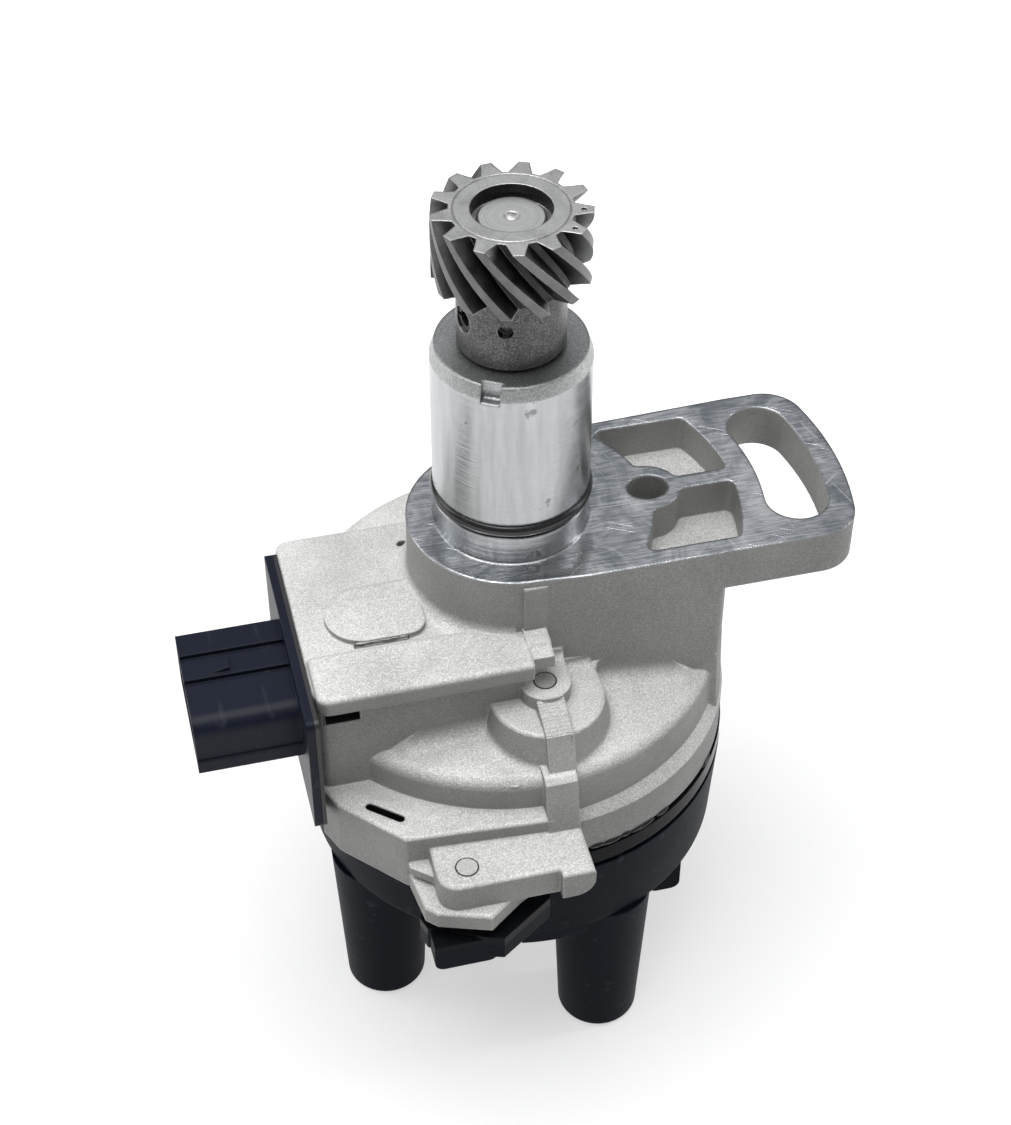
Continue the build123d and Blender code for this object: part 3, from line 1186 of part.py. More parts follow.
def connector():
    """Cover plate and receptacle moulded in one piece."""
    plate = plate_blank(PLATE_OUT, BOX_LEFT - GASKET_THICK - FIT)
    y0, y1 = SHELL_Y
    z0, z1 = SHELL_Z
    shell = block(SHELL_OUT, PLATE_OUT + 1, y0, y1, z0, z1)
    top = shell.edges().filter_by(Axis.X).group_by(Axis.Z)[-1]
    shell = fillet(top.sort_by(Axis.Y)[0], SHELL_FILLET)
    shell = shell + block(SHELL_OUT, PLATE_OUT + 1, y0 - LEDGE_OUT, y0 + 1, z0, LEDGE_TOP)
    shell = shell - block(SHELL_OUT - 1, SHELL_BACK, y0 + SHELL_WALL, y1 - SHELL_WALL,
                          z0 + SHELL_WALL, z1 - SHELL_WALL)
    for y in GROOVE_Y:
        shell = shell - block(SHELL_OUT - 1, PLATE_OUT, y - GROOVE_WIDTH / 2, y + GROOVE_WIDTH / 2,
                              z1 - GROOVE_DEEP, z1 + 1)
    x0, x1 = LATCH_X
    ramp = extrude(Plane.XZ * Polygon((x0, z1 - 1), (x1, z1 - 1), (x1, z1 + LATCH_RISE), (x0, z1),
                                      align=None), GROOVE_Y[1] - GROOVE_Y[0] - 2 * GROOVE_WIDTH)
    shell = shell + Pos(0, GROOVE_Y[1] - GROOVE_WIDTH, 0) * ramp
    body = plate + shell
    for y, z in pin_places():
        body = body - block(SHELL_BACK - 1, PIN_IN + 3, y - PIN_HALF_Y - FIT, y + PIN_HALF_Y + FIT,
                            z - PIN_HALF_Z - FIT, z + PIN_HALF_Z + FIT)
    return body


def pin_places():
    """Y and Z of the connector pins."""
    middle = sum(SHELL_Y) / 2
    first = middle - (PIN_COLUMNS - 1) * PIN_PITCH / 2
    return [(first + i * PIN_PITCH, z) for z in PIN_ROWS_Z for i in range(PIN_COLUMNS)]


def connector_pins():
    """Flat blades of the receptacle."""
    return [block(PIN_OUT, PIN_IN, y - PIN_HALF_Y, y + PIN_HALF_Y, z - PIN_HALF_Z, z + PIN_HALF_Z)
            for y, z in pin_places()]


outer_race, inner_race = bearing_rings()
cage, balls = ball_cage()
save("housing", housing())
save("pilot_o_ring", pilot_o_ring())
save("upper_bush", upper_bush())
save("oil_seal_case", oil_seal_case())
save("oil_seal_lip", oil_seal_lip())
save("bearing_outer_ring", outer_race)
save("bearing_inner_ring", inner_race)
save("bearing_cage", cage)
save("bearing_balls", *balls)
save("bearing_retainer", bearing_retainer())
save("retainer_screws", *retainer_screws())
save("shaft_circlip", circlip())
save("drive_shaft", drive_shaft())
save("drive_gear", drive_gear())
save("gear_roll_pin", gear_roll_pin())
save("thrust_washer", thrust_washer())
save("wheel_spacer", wheel_spacer())
save("trigger_wheel", trigger_wheel())
save("wheel_nut", wheel_nut())
save("pickup", pickup())
save("pickup_screw", pickup_screw())
save("driver_module", driver_module())
save("driver_screws", *driver_screws())
save("coil_core", coil_core())
save("coil_winding", coil_winding())
save("coil_pin", coil_pin())
save("coil_screws", *coil_screws())
save("dust_shield", dust_shield())
save("cap_seal", cap_seal())
save("cap", cap())
save("cap_strip", cap_strip())
save("tower_terminals", *tower_terminals())
save("carbon_brush", carbon_brush())
save("brush_spring", brush_spring())
save("rotor_arm", rotor_arm())
save("rotor_electrode", rotor_electrode())
save("rotor_set_screw", rotor_set_screw())
save("cap_screws", *cap_screws())
save("plate_gasket", plate_gasket())
save("connector", connector())
save("connector_pins", *connector_pins())
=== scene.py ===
import json
import math

import bpy
from mathutils import Matrix, Vector

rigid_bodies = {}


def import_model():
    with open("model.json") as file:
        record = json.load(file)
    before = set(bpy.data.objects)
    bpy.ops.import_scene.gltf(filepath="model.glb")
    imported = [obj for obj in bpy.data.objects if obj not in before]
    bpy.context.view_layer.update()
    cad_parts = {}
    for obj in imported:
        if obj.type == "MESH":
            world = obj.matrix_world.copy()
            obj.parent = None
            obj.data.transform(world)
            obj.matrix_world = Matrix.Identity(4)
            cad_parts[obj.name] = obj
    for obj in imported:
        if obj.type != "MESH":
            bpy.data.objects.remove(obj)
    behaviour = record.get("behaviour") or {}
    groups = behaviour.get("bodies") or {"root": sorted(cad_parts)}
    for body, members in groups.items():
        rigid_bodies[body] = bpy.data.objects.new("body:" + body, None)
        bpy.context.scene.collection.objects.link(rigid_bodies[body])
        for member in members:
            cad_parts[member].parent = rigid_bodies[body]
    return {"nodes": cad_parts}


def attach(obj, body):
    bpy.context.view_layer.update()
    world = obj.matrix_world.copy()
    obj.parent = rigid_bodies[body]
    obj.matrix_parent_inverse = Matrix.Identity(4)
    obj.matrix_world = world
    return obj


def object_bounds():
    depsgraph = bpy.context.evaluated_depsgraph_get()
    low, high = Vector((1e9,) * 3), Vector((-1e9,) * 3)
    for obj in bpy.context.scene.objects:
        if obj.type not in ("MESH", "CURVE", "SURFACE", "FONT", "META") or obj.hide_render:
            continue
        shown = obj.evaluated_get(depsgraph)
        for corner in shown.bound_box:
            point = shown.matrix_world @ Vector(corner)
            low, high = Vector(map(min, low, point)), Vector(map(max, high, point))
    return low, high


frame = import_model()
cad_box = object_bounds()
bpy.ops.object.select_all(action="DESELECT")

# Heights that divide one casting or moulding into its finishes, in metres
FACE_Z = 0.0
FACE_SKIN = 0.00012
TUBE_CROWN_Z = 0.0388
GEAR_TEETH_Z = 0.0560
CAP_BAND_Z = -0.0572

# Radii between which the gear's flanks turn from dark to pale, the dark in the gullets being painted shade
GULLET_R = 0.0112
TIP_R = 0.0142

# The drain slot in the low flange: its middle, direction and half sizes, its inside below the middle
# painted black as shade
SLOT_AT = (-0.03370, -0.03630, -0.03890)
SLOT_WAY = (0.764, -0.645)
SLOT_HALF = (0.0048, 0.0010)

# The undercut below the left end of the raised pad, painted dark inside as shade
UNDERCUT_X = (-0.0430, -0.0359)
UNDERCUT_Y = (-0.0274, -0.0250)
UNDERCUT_Z = (-0.0212, -0.0150)

# The filed slope of the rib: half its width, and where the file marks fade at each end
RIB_HALF = 0.0029
RIB_FRONT = (-0.0394, -0.0388)
RIB_BACK = (-0.0318, -0.0308)
RIB_FOOT = (-0.0232, -0.0228)

# Places and sizes of the small marks
WITNESS_AT, WITNESS_SIZE = (-0.0003, -0.0201, -0.0074), (0.0046, 0.0012, 0.0120)
EJECTOR_AT, EJECTOR_SIZE = (-0.00907, -0.04082, -0.03238), (0.0013, 0.0005, 0.0005)
EJECTOR_CUT, EJECTOR_LEAN = (-0.00907, -0.04062, -0.03238), (-0.14, -0.86, 0.5)
BURR_AT, BURR_SIZE = (-0.0292, -0.0155, -0.0136), (0.0105, 0.0007, 0.0009)
FLASH_AT, FLASH_SIZE = (0.0022, -0.0392, -0.0232), (0.0002, 0.0004, 0.0004)
FLASH_STEPS = ((0.0, -0.0024, -0.0066), (0.0, -0.0008, -0.0006))
CORNER_AT, CORNER_SIZE = (-0.0150, 0.0188, -0.0246), (0.0220, 0.0042, 0.0036)
SEAMS = (("pickup_screw_seam", (0.0, -0.0270, -0.0200)), ("cap_screw_seam", (-0.0210, -0.0504, -0.0417)))
SEAM_R, SEAM_WIRE_R = 0.00213, 0.00016
BEAD_SIZE = (0.00045, 0.0016, 0.00055)
BEAD_CIRCLE_R = 0.04345

# Angle about the shaft, length factor and height of each bead of sealant
BEADS = ((-81.0, 1.0, -0.0522), (-77.0, 1.6, -0.0524), (-72.5, 0.8, -0.0522), (-67.0, 1.9, -0.0525),
         (-60.0, 1.1, -0.0523), (-38.0, 1.3, -0.0524))

# The camera of the photograph: angles in degrees, distance and aim in metres, lens in millimetres
CAMERA_AZIMUTH, CAMERA_ELEVATION = -13.88, 43.39
CAMERA_DISTANCE = 0.4373
CAMERA_AIM_Z, CAMERA_AIM_LEFT = -0.01381, 0.00106
CAMERA_LENS, CAMERA_SENSOR = 70.94, 36.0

# Name, place, size and power of each lamp
LAMPS = (("overhead", (-0.09, -0.05, 0.60), (0.50, 0.50), 3.9),
         ("left_side", (-0.52, 0.22, 0.26), (0.30, 0.45), 0.9),
         ("right_strip", (0.58, -0.06, 0.24), (0.07, 0.50), 0.7))


# Node helpers


class Recipe:
    """A node tree that is filled from left to right."""

    def __init__(self, tree):
        self.tree = tree

    def add(self, kind, **values):
        """A new node with its settings."""
        node = self.tree.nodes.new(kind)
        for key, value in values.items():
            setattr(node, key, value)
        return node

    def join(self, source, target):
        """Links an output to an input."""
        self.tree.links.new(source, target)

    def put(self, socket, value):
        """Links a socket, or sets a plain value."""
        if isinstance(value, bpy.types.NodeSocket):
            self.join(value, socket)
        else:
            socket.default_value = value

    def math(self, operation, a, b=0.0, c=0.0, clamp=False):
        """The result of one sum or comparison."""
        node = self.add("ShaderNodeMath", operation=operation, use_clamp=clamp)
        for socket, value in zip(node.inputs, (a, b, c)):
            self.put(socket, value)
        return node.outputs[0]

    def between(self, value, low, high):
        """0 below low, 1 above high, smooth in between."""
        node = self.add("ShaderNodeMapRange", interpolation_type="SMOOTHSTEP")
        self.put(node.inputs["Value"], value)
        self.put(node.inputs["From Min"], low)
        self.put(node.inputs["From Max"], high)
        return node.outputs["Result"]

    def inside(self, value, low, high):
        """1 between low and high, else 0."""
        above = self.math("GREATER_THAN", value, low)
        return self.math("MULTIPLY", above, self.math("LESS_THAN", value, high))

    def near(self, value, reach):
        """1 where a value is less than reach from nought, else 0."""
        return self.math("LESS_THAN", self.math("ABSOLUTE", value), reach)

    def length(self, a, b):
        """The distance from nought of the point (a, b)."""
        return self.math("SQRT", self.math("ADD", self.math("MULTIPLY", a, a), self.math("MULTIPLY", b, b)))

    def parts(self, vector):
        """The three components of a vector."""
        node = self.add("ShaderNodeSeparateXYZ")
        self.join(vector, node.inputs[0])
        return node.outputs

    def facing(self):
        """The components of the true surface normal."""
        return self.parts(self.add("ShaderNodeNewGeometry").outputs["True Normal"])

    def scaled(self, value, low, high, to_low, to_high):
        """A value carried from one range to another."""
        node = self.add("ShaderNodeMapRange")
        for name, number in (("Value", value), ("From Min", low), ("From Max", high),
                             ("To Min", to_low), ("To Max", to_high)):
            self.put(node.inputs[name], number)
        return node.outputs["Result"]

    def mix(self, factor, a, b):
        """A number between a and b."""
        node = self.add("ShaderNodeMix", data_type="FLOAT")
        self.put(node.inputs[0], factor)
        self.put(node.inputs[2], a)
        self.put(node.inputs[3], b)
        return node.outputs[0]

    def tint(self, factor, a, b):
        """A colour between a and b."""
        node = self.add("ShaderNodeMix", data_type="RGBA")
        self.put(node.inputs[0], factor)
        self.put(node.inputs[6], (*a, 1.0) if isinstance(a, tuple) and len(a) == 3 else a)
        self.put(node.inputs[7], (*b, 1.0) if isinstance(b, tuple) and len(b) == 3 else b)
        return node.outputs[2]

    def noise(self, where, scale, detail=2.0, rough=0.5, stretch=None, twist=0.0):
        """Cloudy noise from 0 to 1, its axes scaled by stretch if given."""
        if stretch:
            mapping = self.add("ShaderNodeMapping")
            self.join(where, mapping.inputs["Vector"])
            mapping.inputs["Scale"].default_value = stretch
            where = mapping.outputs["Vector"]
        node = self.add("ShaderNodeTexNoise")
        self.join(where, node.inputs["Vector"])
        self.put(node.inputs["Scale"], scale)
        self.put(node.inputs["Detail"], detail)
        self.put(node.inputs["Roughness"], rough)
        self.put(node.inputs["Distortion"], twist)
        return node.outputs["Fac"]

    def use(self, group, **values):
        """A node group with some of its inputs set."""
        node = self.add("ShaderNodeGroup", node_tree=group)
        for key, value in values.items():
            self.put(node.inputs[key], value)
        return node


def effect(name, inputs, outputs):
    """An empty node group with named float and vector sockets."""
    tree = bpy.data.node_groups.new(name, "ShaderNodeTree")
    kinds = {"f": "NodeSocketFloat", "v": "NodeSocketVector"}
    for key, kind, value in inputs:
        socket = tree.interface.new_socket(key, in_out="INPUT", socket_type=kinds[kind])
        if value is not None:
            socket.default_value = value
    for key, kind in outputs:
        tree.interface.new_socket(key, in_out="OUTPUT", socket_type=kinds[kind])
    recipe = Recipe(tree)
    return recipe, recipe.add("NodeGroupInput"), recipe.add("NodeGroupOutput")


def sand_grain():
    """Fine blasted grain of a raw casting, with slow clouds of tone."""
    r, src, out = effect("sand grain", [("Where", "v", None), ("Scale", "f", 3800.0)],
                         [("Tone", "f"), ("Height", "f")])
    where = src.outputs["Where"]
    fine = r.noise(where, src.outputs["Scale"], 3.0, 0.65)
    half = r.math("MULTIPLY", src.outputs["Scale"], 0.42)
    wide = r.noise(where, half, 2.0, 0.6)
    cloud = r.noise(where, 55.0, 3.0, 0.55)
    speck = r.between(fine, 0.56, 0.72)
    tone = r.math("ADD", r.math("MULTIPLY", fine, 0.58), r.math("MULTIPLY", wide, 0.16))
    tone = r.math("ADD", tone, r.math("MULTIPLY", cloud, 0.22))
    tone = r.math("ADD", tone, r.math("MULTIPLY", speck, 0.12))
    r.join(r.scaled(tone, 0.36, 0.66, 0.0, 1.0), out.inputs["Tone"])
    r.join(r.math("ADD", fine, r.math("MULTIPLY", wide, 0.8)), out.inputs["Height"])
    return r.tree


def edge_wear_and_highlight():
    """Mask of the outer edges, where a surface is rubbed and where its colour is lightened as a painted
    highlight.
    """
    inputs = [("Where", "v", None), ("Width", "f", 0.0006), ("Amount", "f", 1.0)]
    r, src, out = effect("edge wear and highlight", inputs, [("Mask", "f"), ("Normal", "v")])
    bevel = r.add("ShaderNodeBevel", samples=6)
    r.join(src.outputs["Width"], bevel.inputs["Radius"])
    geometry = r.add("ShaderNodeNewGeometry")
    dot = r.add("ShaderNodeVectorMath", operation="DOT_PRODUCT")
    r.join(bevel.outputs["Normal"], dot.inputs[0])
    r.join(geometry.outputs["Normal"], dot.inputs[1])
    turn = r.between(r.math("SUBTRACT", 1.0, dot.outputs["Value"]), 0.02, 0.25)
    patchy = r.scaled(r.noise(src.outputs["Where"], 700.0, 2.0, 0.6), 0.3, 0.7, 0.4, 1.0)
    mask = r.math("MULTIPLY", turn, patchy)
    r.join(r.math("MULTIPLY", mask, src.outputs["Amount"], clamp=True), out.inputs["Mask"])
    r.join(bevel.outputs["Normal"], out.inputs["Normal"])
    return r.tree


def turned_lines():
    """Fine rings left by a lathe tool, round the shaft axis."""
    r, src, out = effect("turned lines", [("Where", "v", None)], [("Height", "f"), ("Tone", "f")])
    z = r.parts(src.outputs["Where"])[2]
    line = r.add("ShaderNodeTexNoise", noise_dimensions="1D")
    r.join(z, line.inputs["W"])
    line.inputs["Scale"].default_value = 9000.0
    line.inputs["Detail"].default_value = 2.0
    smear = r.noise(src.outputs["Where"], 60.0, 2.0, 0.6, stretch=(1.0, 1.0, 0.25))
    r.join(line.outputs["Fac"], out.inputs["Height"])
    tone = r.math("ADD", r.math("MULTIPLY", line.outputs["Fac"], 0.4), r.math("MULTIPLY", smear, 0.6))
    r.join(tone, out.inputs["Tone"])
    return r.tree


def scratches():
    """Thin crossing scratches of a handled face."""
    r, src, out = effect("scratches", [("Where", "v", None)], [("Mask", "f")])
    marks = []
    for turn, stretch, scale in ((0.5, (1.0, 30.0, 1.0), 70.0), (-0.7, (1.0, 26.0, 1.0), 55.0),
                                 (1.3, (1.0, 34.0, 1.0), 60.0)):
        mapping = r.add("ShaderNodeMapping")
        r.join(src.outputs["Where"], mapping.inputs["Vector"])
        mapping.inputs["Rotation"].default_value = (0.0, 0.0, turn)
        mark = r.noise(mapping.outputs["Vector"], scale, 1.0, 0.4, stretch=stretch, twist=0.4)
        marks.append(r.between(mark, 0.70, 0.76))
    both = r.math("MAXIMUM", marks[0], marks[1])
    r.join(r.math("MAXIMUM", both, marks[2]), out.inputs["Mask"])
    return r.tree


GRAIN = sand_grain()
EDGE_WEAR_AND_HIGHLIGHT = edge_wear_and_highlight()
LINES = turned_lines()
MARKS = scratches()


def finish_named(name):
    """A new material with its shader, object coordinates and an empty recipe."""
    material = bpy.data.materials.new(name)
    material.use_nodes = True
    recipe = Recipe(material.node_tree)
    shader = material.node_tree.nodes["Principled BSDF"]
    where = recipe.add("ShaderNodeTexCoord").outputs["Object"]
    return material, recipe, shader, where


def bumped(recipe, shader, height, under=None):
    """Raises the surface by a height, on top of another normal if one is given."""
    bump = recipe.add("ShaderNodeBump")
    recipe.put(bump.inputs["Height"], height)
    bump.inputs["Distance"].default_value = 1.0
    bump.inputs["Strength"].default_value = 1.0
    if under is not None:
        recipe.join(under, bump.inputs["Normal"])
    recipe.join(bump.outputs["Normal"], shader.inputs["Normal"])


# Finishes


def casting():
    """The housing: raw casting, milled flange face and turned pilot tube."""
    material, r, shader, where = finish_named("cast aluminium")
    x, y, z = r.parts(where)
    upward = r.facing()[2]
    # Where each finish is
    level = r.near(r.math("SUBTRACT", z, FACE_Z), FACE_SKIN)
    milled = r.math("MULTIPLY", level, r.math("GREATER_THAN", upward, 0.9))
    tube = r.math("GREATER_THAN", z, FACE_Z + FACE_SKIN)
    crown = r.math("GREATER_THAN", z, TUBE_CROWN_Z)
    # Raw casting
    grain = r.use(GRAIN, Where=where)
    edge = r.use(EDGE_WEAR_AND_HIGHLIGHT, Where=where, Width=0.0009, Amount=0.8)
    raw = r.tint(grain.outputs["Tone"], (0.40, 0.40, 0.385), (0.95, 0.95, 0.93))
    stain = r.between(r.noise(where, 34.0, 4.0, 0.6, twist=0.6), 0.52, 0.72)
    raw = r.tint(r.math("MULTIPLY", stain, 0.28), raw, (0.36, 0.36, 0.345))
    # Painted shade: walls that face sideways are darkened, as less light falls on them than on the tops
    painted_wall_shade = r.math("SUBTRACT", 1.0, r.between(r.math("ABSOLUTE", upward), 0.1, 0.75))
    raw = r.tint(r.math("MULTIPLY", painted_wall_shade, 0.72), raw, (0.185, 0.186, 0.178))
    # Outer edges lightened: partly rubbed wear, partly a painted highlight
    raw = r.tint(r.math("MULTIPLY", edge.outputs["Mask"], 0.6), raw, (0.90, 0.90, 0.88))
    # Painted shade: the inside of the drain slot, below its middle, is painted near black
    off_x, off_y = r.math("SUBTRACT", x, SLOT_AT[0]), r.math("SUBTRACT", y, SLOT_AT[1])
    along = r.math("ADD", r.math("MULTIPLY", off_x, SLOT_WAY[0]), r.math("MULTIPLY", off_y, SLOT_WAY[1]))
    across = r.math("SUBTRACT", r.math("MULTIPLY", off_x, SLOT_WAY[1]),
                    r.math("MULTIPLY", off_y, SLOT_WAY[0]))
    slot_shade = r.math("MULTIPLY", r.near(along, SLOT_HALF[0]), r.near(across, SLOT_HALF[1]))
    slot_shade = r.math("MULTIPLY", slot_shade, r.math("LESS_THAN", z, SLOT_AT[2]))
    raw = r.tint(slot_shade, raw, (0.012, 0.012, 0.012))
    # Painted shade: the undercut below the raised pad is painted dark inside
    undercut_shade = r.math("MULTIPLY", r.inside(x, *UNDERCUT_X), r.inside(y, *UNDERCUT_Y))
    undercut_shade = r.math("MULTIPLY", undercut_shade, r.inside(z, *UNDERCUT_Z))
    raw = r.tint(undercut_shade, raw, (0.03, 0.03, 0.03))
    # Milled face: swirling cutter lines, smears and duller patches, whose dark bluish and pale tones paint
    # reflections into its colour
    swirl = r.noise(where, 60.0, 5.0, 0.7, twist=3.0)
    streak = r.noise(where, 1400.0, 3.0, 0.6, stretch=(0.12, 1.8, 1.0), twist=0.5)
    dull_reflection_patch = r.noise(where, 30.0, 4.0, 0.65)
    face_tone = r.math("ADD", r.math("MULTIPLY", swirl, 0.40), r.math("MULTIPLY", streak, 0.42))
    face_tone = r.math("ADD", face_tone, r.math("MULTIPLY", dull_reflection_patch, 0.36))
    face_tone = r.between(face_tone, 0.48, 0.78)
    bright = r.tint(face_tone, (0.25, 0.27, 0.30), (0.92, 0.93, 0.95))
    marks = r.use(MARKS, Where=where)
    bright = r.tint(r.math("MULTIPLY", marks.outputs["Mask"], 0.6), bright, (0.95, 0.95, 0.95))
    # Turned tube with dark pits, and a duller grainy top ring
    lines = r.use(LINES, Where=where)
    turned = r.tint(lines.outputs["Tone"], (0.26, 0.27, 0.275), (0.44, 0.45, 0.455))
    # Painted reflection: pale streaks along the tube stand in for reflected light
    reflection_streaks = r.noise(where, 420.0, 3.0, 0.6, stretch=(1.0, 1.0, 0.10))
    turned = r.tint(r.scaled(reflection_streaks, 0.3, 0.7, 0.0, 0.36), turned, (0.66, 0.67, 0.675))
    pits = r.between(r.noise(where, 230.0, 3.0, 0.55), 0.65, 0.71)
    turned = r.tint(r.math("MULTIPLY", pits, 0.75), turned, (0.16, 0.165, 0.165))
    dull = r.tint(grain.outputs["Tone"], (0.26, 0.27, 0.27), (0.60, 0.61, 0.61))
    turned = r.tint(crown, turned, dull)
    colour = r.tint(milled, raw, bright)
    colour = r.tint(tube, colour, turned)
    r.join(colour, shader.inputs["Base Color"])
    raw_rough = r.scaled(grain.outputs["Tone"], 0.1, 0.9, 0.64, 0.44)
    raw_rough = r.mix(edge.outputs["Mask"], raw_rough, 0.36)
    face_rough = r.scaled(face_tone, 0.0, 1.0, 0.32, 0.16)
    tube_rough = r.mix(crown, r.scaled(lines.outputs["Tone"], 0.2, 0.8, 0.26, 0.17), 0.42)
    rough = r.mix(tube, r.mix(milled, raw_rough, face_rough), tube_rough)
    r.join(rough, shader.inputs["Roughness"])
    metal = r.mix(r.math("MAXIMUM", milled, tube), 0.22, 1.0)
    r.join(metal, shader.inputs["Metallic"])
    # File marks on the slope of the rib
    before_wall = r.math("SUBTRACT", 1.0, r.between(y, *RIB_BACK))
    on_rib = r.math("MULTIPLY", r.between(y, *RIB_FRONT), before_wall)
    on_rib = r.math("MULTIPLY", r.near(x, RIB_HALF), on_rib)
    on_rib = r.math("MULTIPLY", on_rib, r.between(z, *RIB_FOOT))
    file_lines = r.add("ShaderNodeTexWave", wave_type="BANDS", bands_direction="Y")
    r.join(where, file_lines.inputs["Vector"])
    file_lines.inputs["Scale"].default_value = 420.0
    file_lines.inputs["Distortion"].default_value = 3.0
    file_lines.inputs["Detail"].default_value = 2.0
    height = r.math("MULTIPLY", grain.outputs["Height"], 0.00008)
    height = r.math("ADD", height, r.math("MULTIPLY", r.noise(where, 260.0, 2.0, 0.5), 0.00022))
    filed = r.math("MULTIPLY", file_lines.outputs["Fac"], on_rib)
    height = r.math("ADD", height, r.math("MULTIPLY", filed, 0.0002))
    smooth = r.math("ADD", r.math("MULTIPLY", streak, 0.00001), r.math("MULTIPLY", swirl, 0.000045))
    smooth = r.math("SUBTRACT", smooth, r.math("MULTIPLY", marks.outputs["Mask"], 0.00002))
    rings = r.math("MULTIPLY", lines.outputs["Height"], 0.000022)
    rings = r.math("SUBTRACT", rings, r.math("MULTIPLY", pits, 0.00004))
    rings = r.mix(crown, rings, r.math("MULTIPLY", grain.outputs["Height"], 0.00004))
    height = r.mix(tube, r.mix(milled, height, smooth), rings)
    bumped(r, shader, height, under=edge.outputs["Normal"])
    return material


def metal(name, dark, light, rough, grain=2600.0, edge_colour=None, edge_width=0.0004, pit=0.00002,
          metallic=1.0):
    """A plain metal with fine grain, slow clouds and edges lightened, partly by rubbing and partly as a
    painted highlight.
    """
    material, r, shader, where = finish_named(name)
    skin = r.use(GRAIN, Where=where, Scale=grain)
    edge = r.use(EDGE_WEAR_AND_HIGHLIGHT, Where=where, Width=edge_width, Amount=0.9)
    colour = r.tint(skin.outputs["Tone"], dark, light)
    # Edge colour: partly rubbed wear, partly a painted highlight
    if edge_colour:
        colour = r.tint(r.math("MULTIPLY", edge.outputs["Mask"], 0.7), colour, edge_colour)
    r.join(colour, shader.inputs["Base Color"])
    r.join(r.scaled(skin.outputs["Tone"], 0.2, 0.9, rough[1], rough[0]), shader.inputs["Roughness"])
    shader.inputs["Metallic"].default_value = metallic
    bumped(r, shader, r.math("MULTIPLY", skin.outputs["Height"], pit), under=edge.outputs["Normal"])
    return material


def gear_steel():
    """Hobbed gear: faced end machined and painted pale as a reflection, dark oily flanks painted darkest in
    the gullets as shade, tips rubbed and painted with a highlight, grey hub.
    """
    material, r, shader, where = finish_named("gear steel")
    x, y, z = r.parts(where)
    end = r.math("GREATER_THAN", r.facing()[2], 0.9)
    hub = r.math("LESS_THAN", z, GEAR_TEETH_Z)
    skin = r.use(GRAIN, Where=where, Scale=3000.0)
    oil = r.between(r.noise(where, 190.0, 3.0, 0.6), 0.4, 0.66)
    edge = r.use(EDGE_WEAR_AND_HIGHLIGHT, Where=where, Width=0.00035, Amount=0.9)
    # Flanks are painted darkest in the gullets, as shade between the teeth, and paler at the tips
    gullet_shade_fade = r.between(r.length(x, y), GULLET_R, TIP_R)
    flank = r.tint(gullet_shade_fade, (0.028, 0.028, 0.029), (0.17, 0.17, 0.168))
    flank = r.tint(r.math("MULTIPLY", oil, 0.45), flank, (0.05, 0.05, 0.05))
    body = r.tint(skin.outputs["Tone"], (0.045, 0.045, 0.045), (0.17, 0.17, 0.167))
    # Pale faced end: partly its machined finish, partly a painted reflection of the light from above
    face = r.tint(skin.outputs["Tone"], (0.50, 0.50, 0.495), (0.84, 0.84, 0.83))
    ring = r.noise(where, 700.0, 2.0, 0.5)
    face = r.tint(r.math("MULTIPLY", ring, 0.3), face, (0.3, 0.3, 0.3))
    colour = r.tint(hub, flank, body)
    # Pale edges on the teeth: partly rubbed wear, partly a painted highlight
    colour = r.tint(r.math("MULTIPLY", edge.outputs["Mask"], 0.75), colour, (0.60, 0.60, 0.59))
    colour = r.tint(end, colour, face)
    r.join(colour, shader.inputs["Base Color"])
    rough = r.scaled(skin.outputs["Tone"], 0.1, 0.9, 0.52, 0.36)
    rough = r.mix(r.math("MULTIPLY", oil, 0.6), rough, 0.26)
    r.join(rough, shader.inputs["Roughness"])
    shader.inputs["Metallic"].default_value = 1.0
    height = r.math("MULTIPLY", skin.outputs["Height"], 0.00002)
    bumped(r, shader, height, under=edge.outputs["Normal"])
    return material


def turned_steel(name, dark, light, rough):
    """Lathe finished steel: rings on its end faces and along its sides."""
    material, r, shader, where = finish_named(name)
    x, y, z = r.parts(where)
    ring = r.add("ShaderNodeTexNoise", noise_dimensions="1D")
    r.join(r.math("ADD", r.length(x, y), z), ring.inputs["W"])
    ring.inputs["Scale"].default_value = 2600.0
    ring.inputs["Detail"].default_value = 3.0
    smear = r.noise(where, 160.0, 3.0, 0.6)
    tone = r.math("ADD", r.math("MULTIPLY", ring.outputs["Fac"], 0.7), r.math("MULTIPLY", smear, 0.3))
    tone = r.scaled(tone, 0.3, 0.7, 0.0, 1.0)
    edge = r.use(EDGE_WEAR_AND_HIGHLIGHT, Where=where, Width=0.0003, Amount=0.8)
    colour = r.tint(tone, dark, light)
    # Bright edges: partly rubbed wear, partly a painted highlight
    colour = r.tint(r.math("MULTIPLY", edge.outputs["Mask"], 0.5), colour, (0.92, 0.92, 0.92))
    r.join(colour, shader.inputs["Base Color"])
    r.join(r.scaled(tone, 0.2, 0.8, rough[1], rough[0]), shader.inputs["Roughness"])
    shader.inputs["Metallic"].default_value = 1.0
    bumped(r, shader, r.math("MULTIPLY", ring.outputs["Fac"], 0.00001), under=edge.outputs["Normal"])
    return material


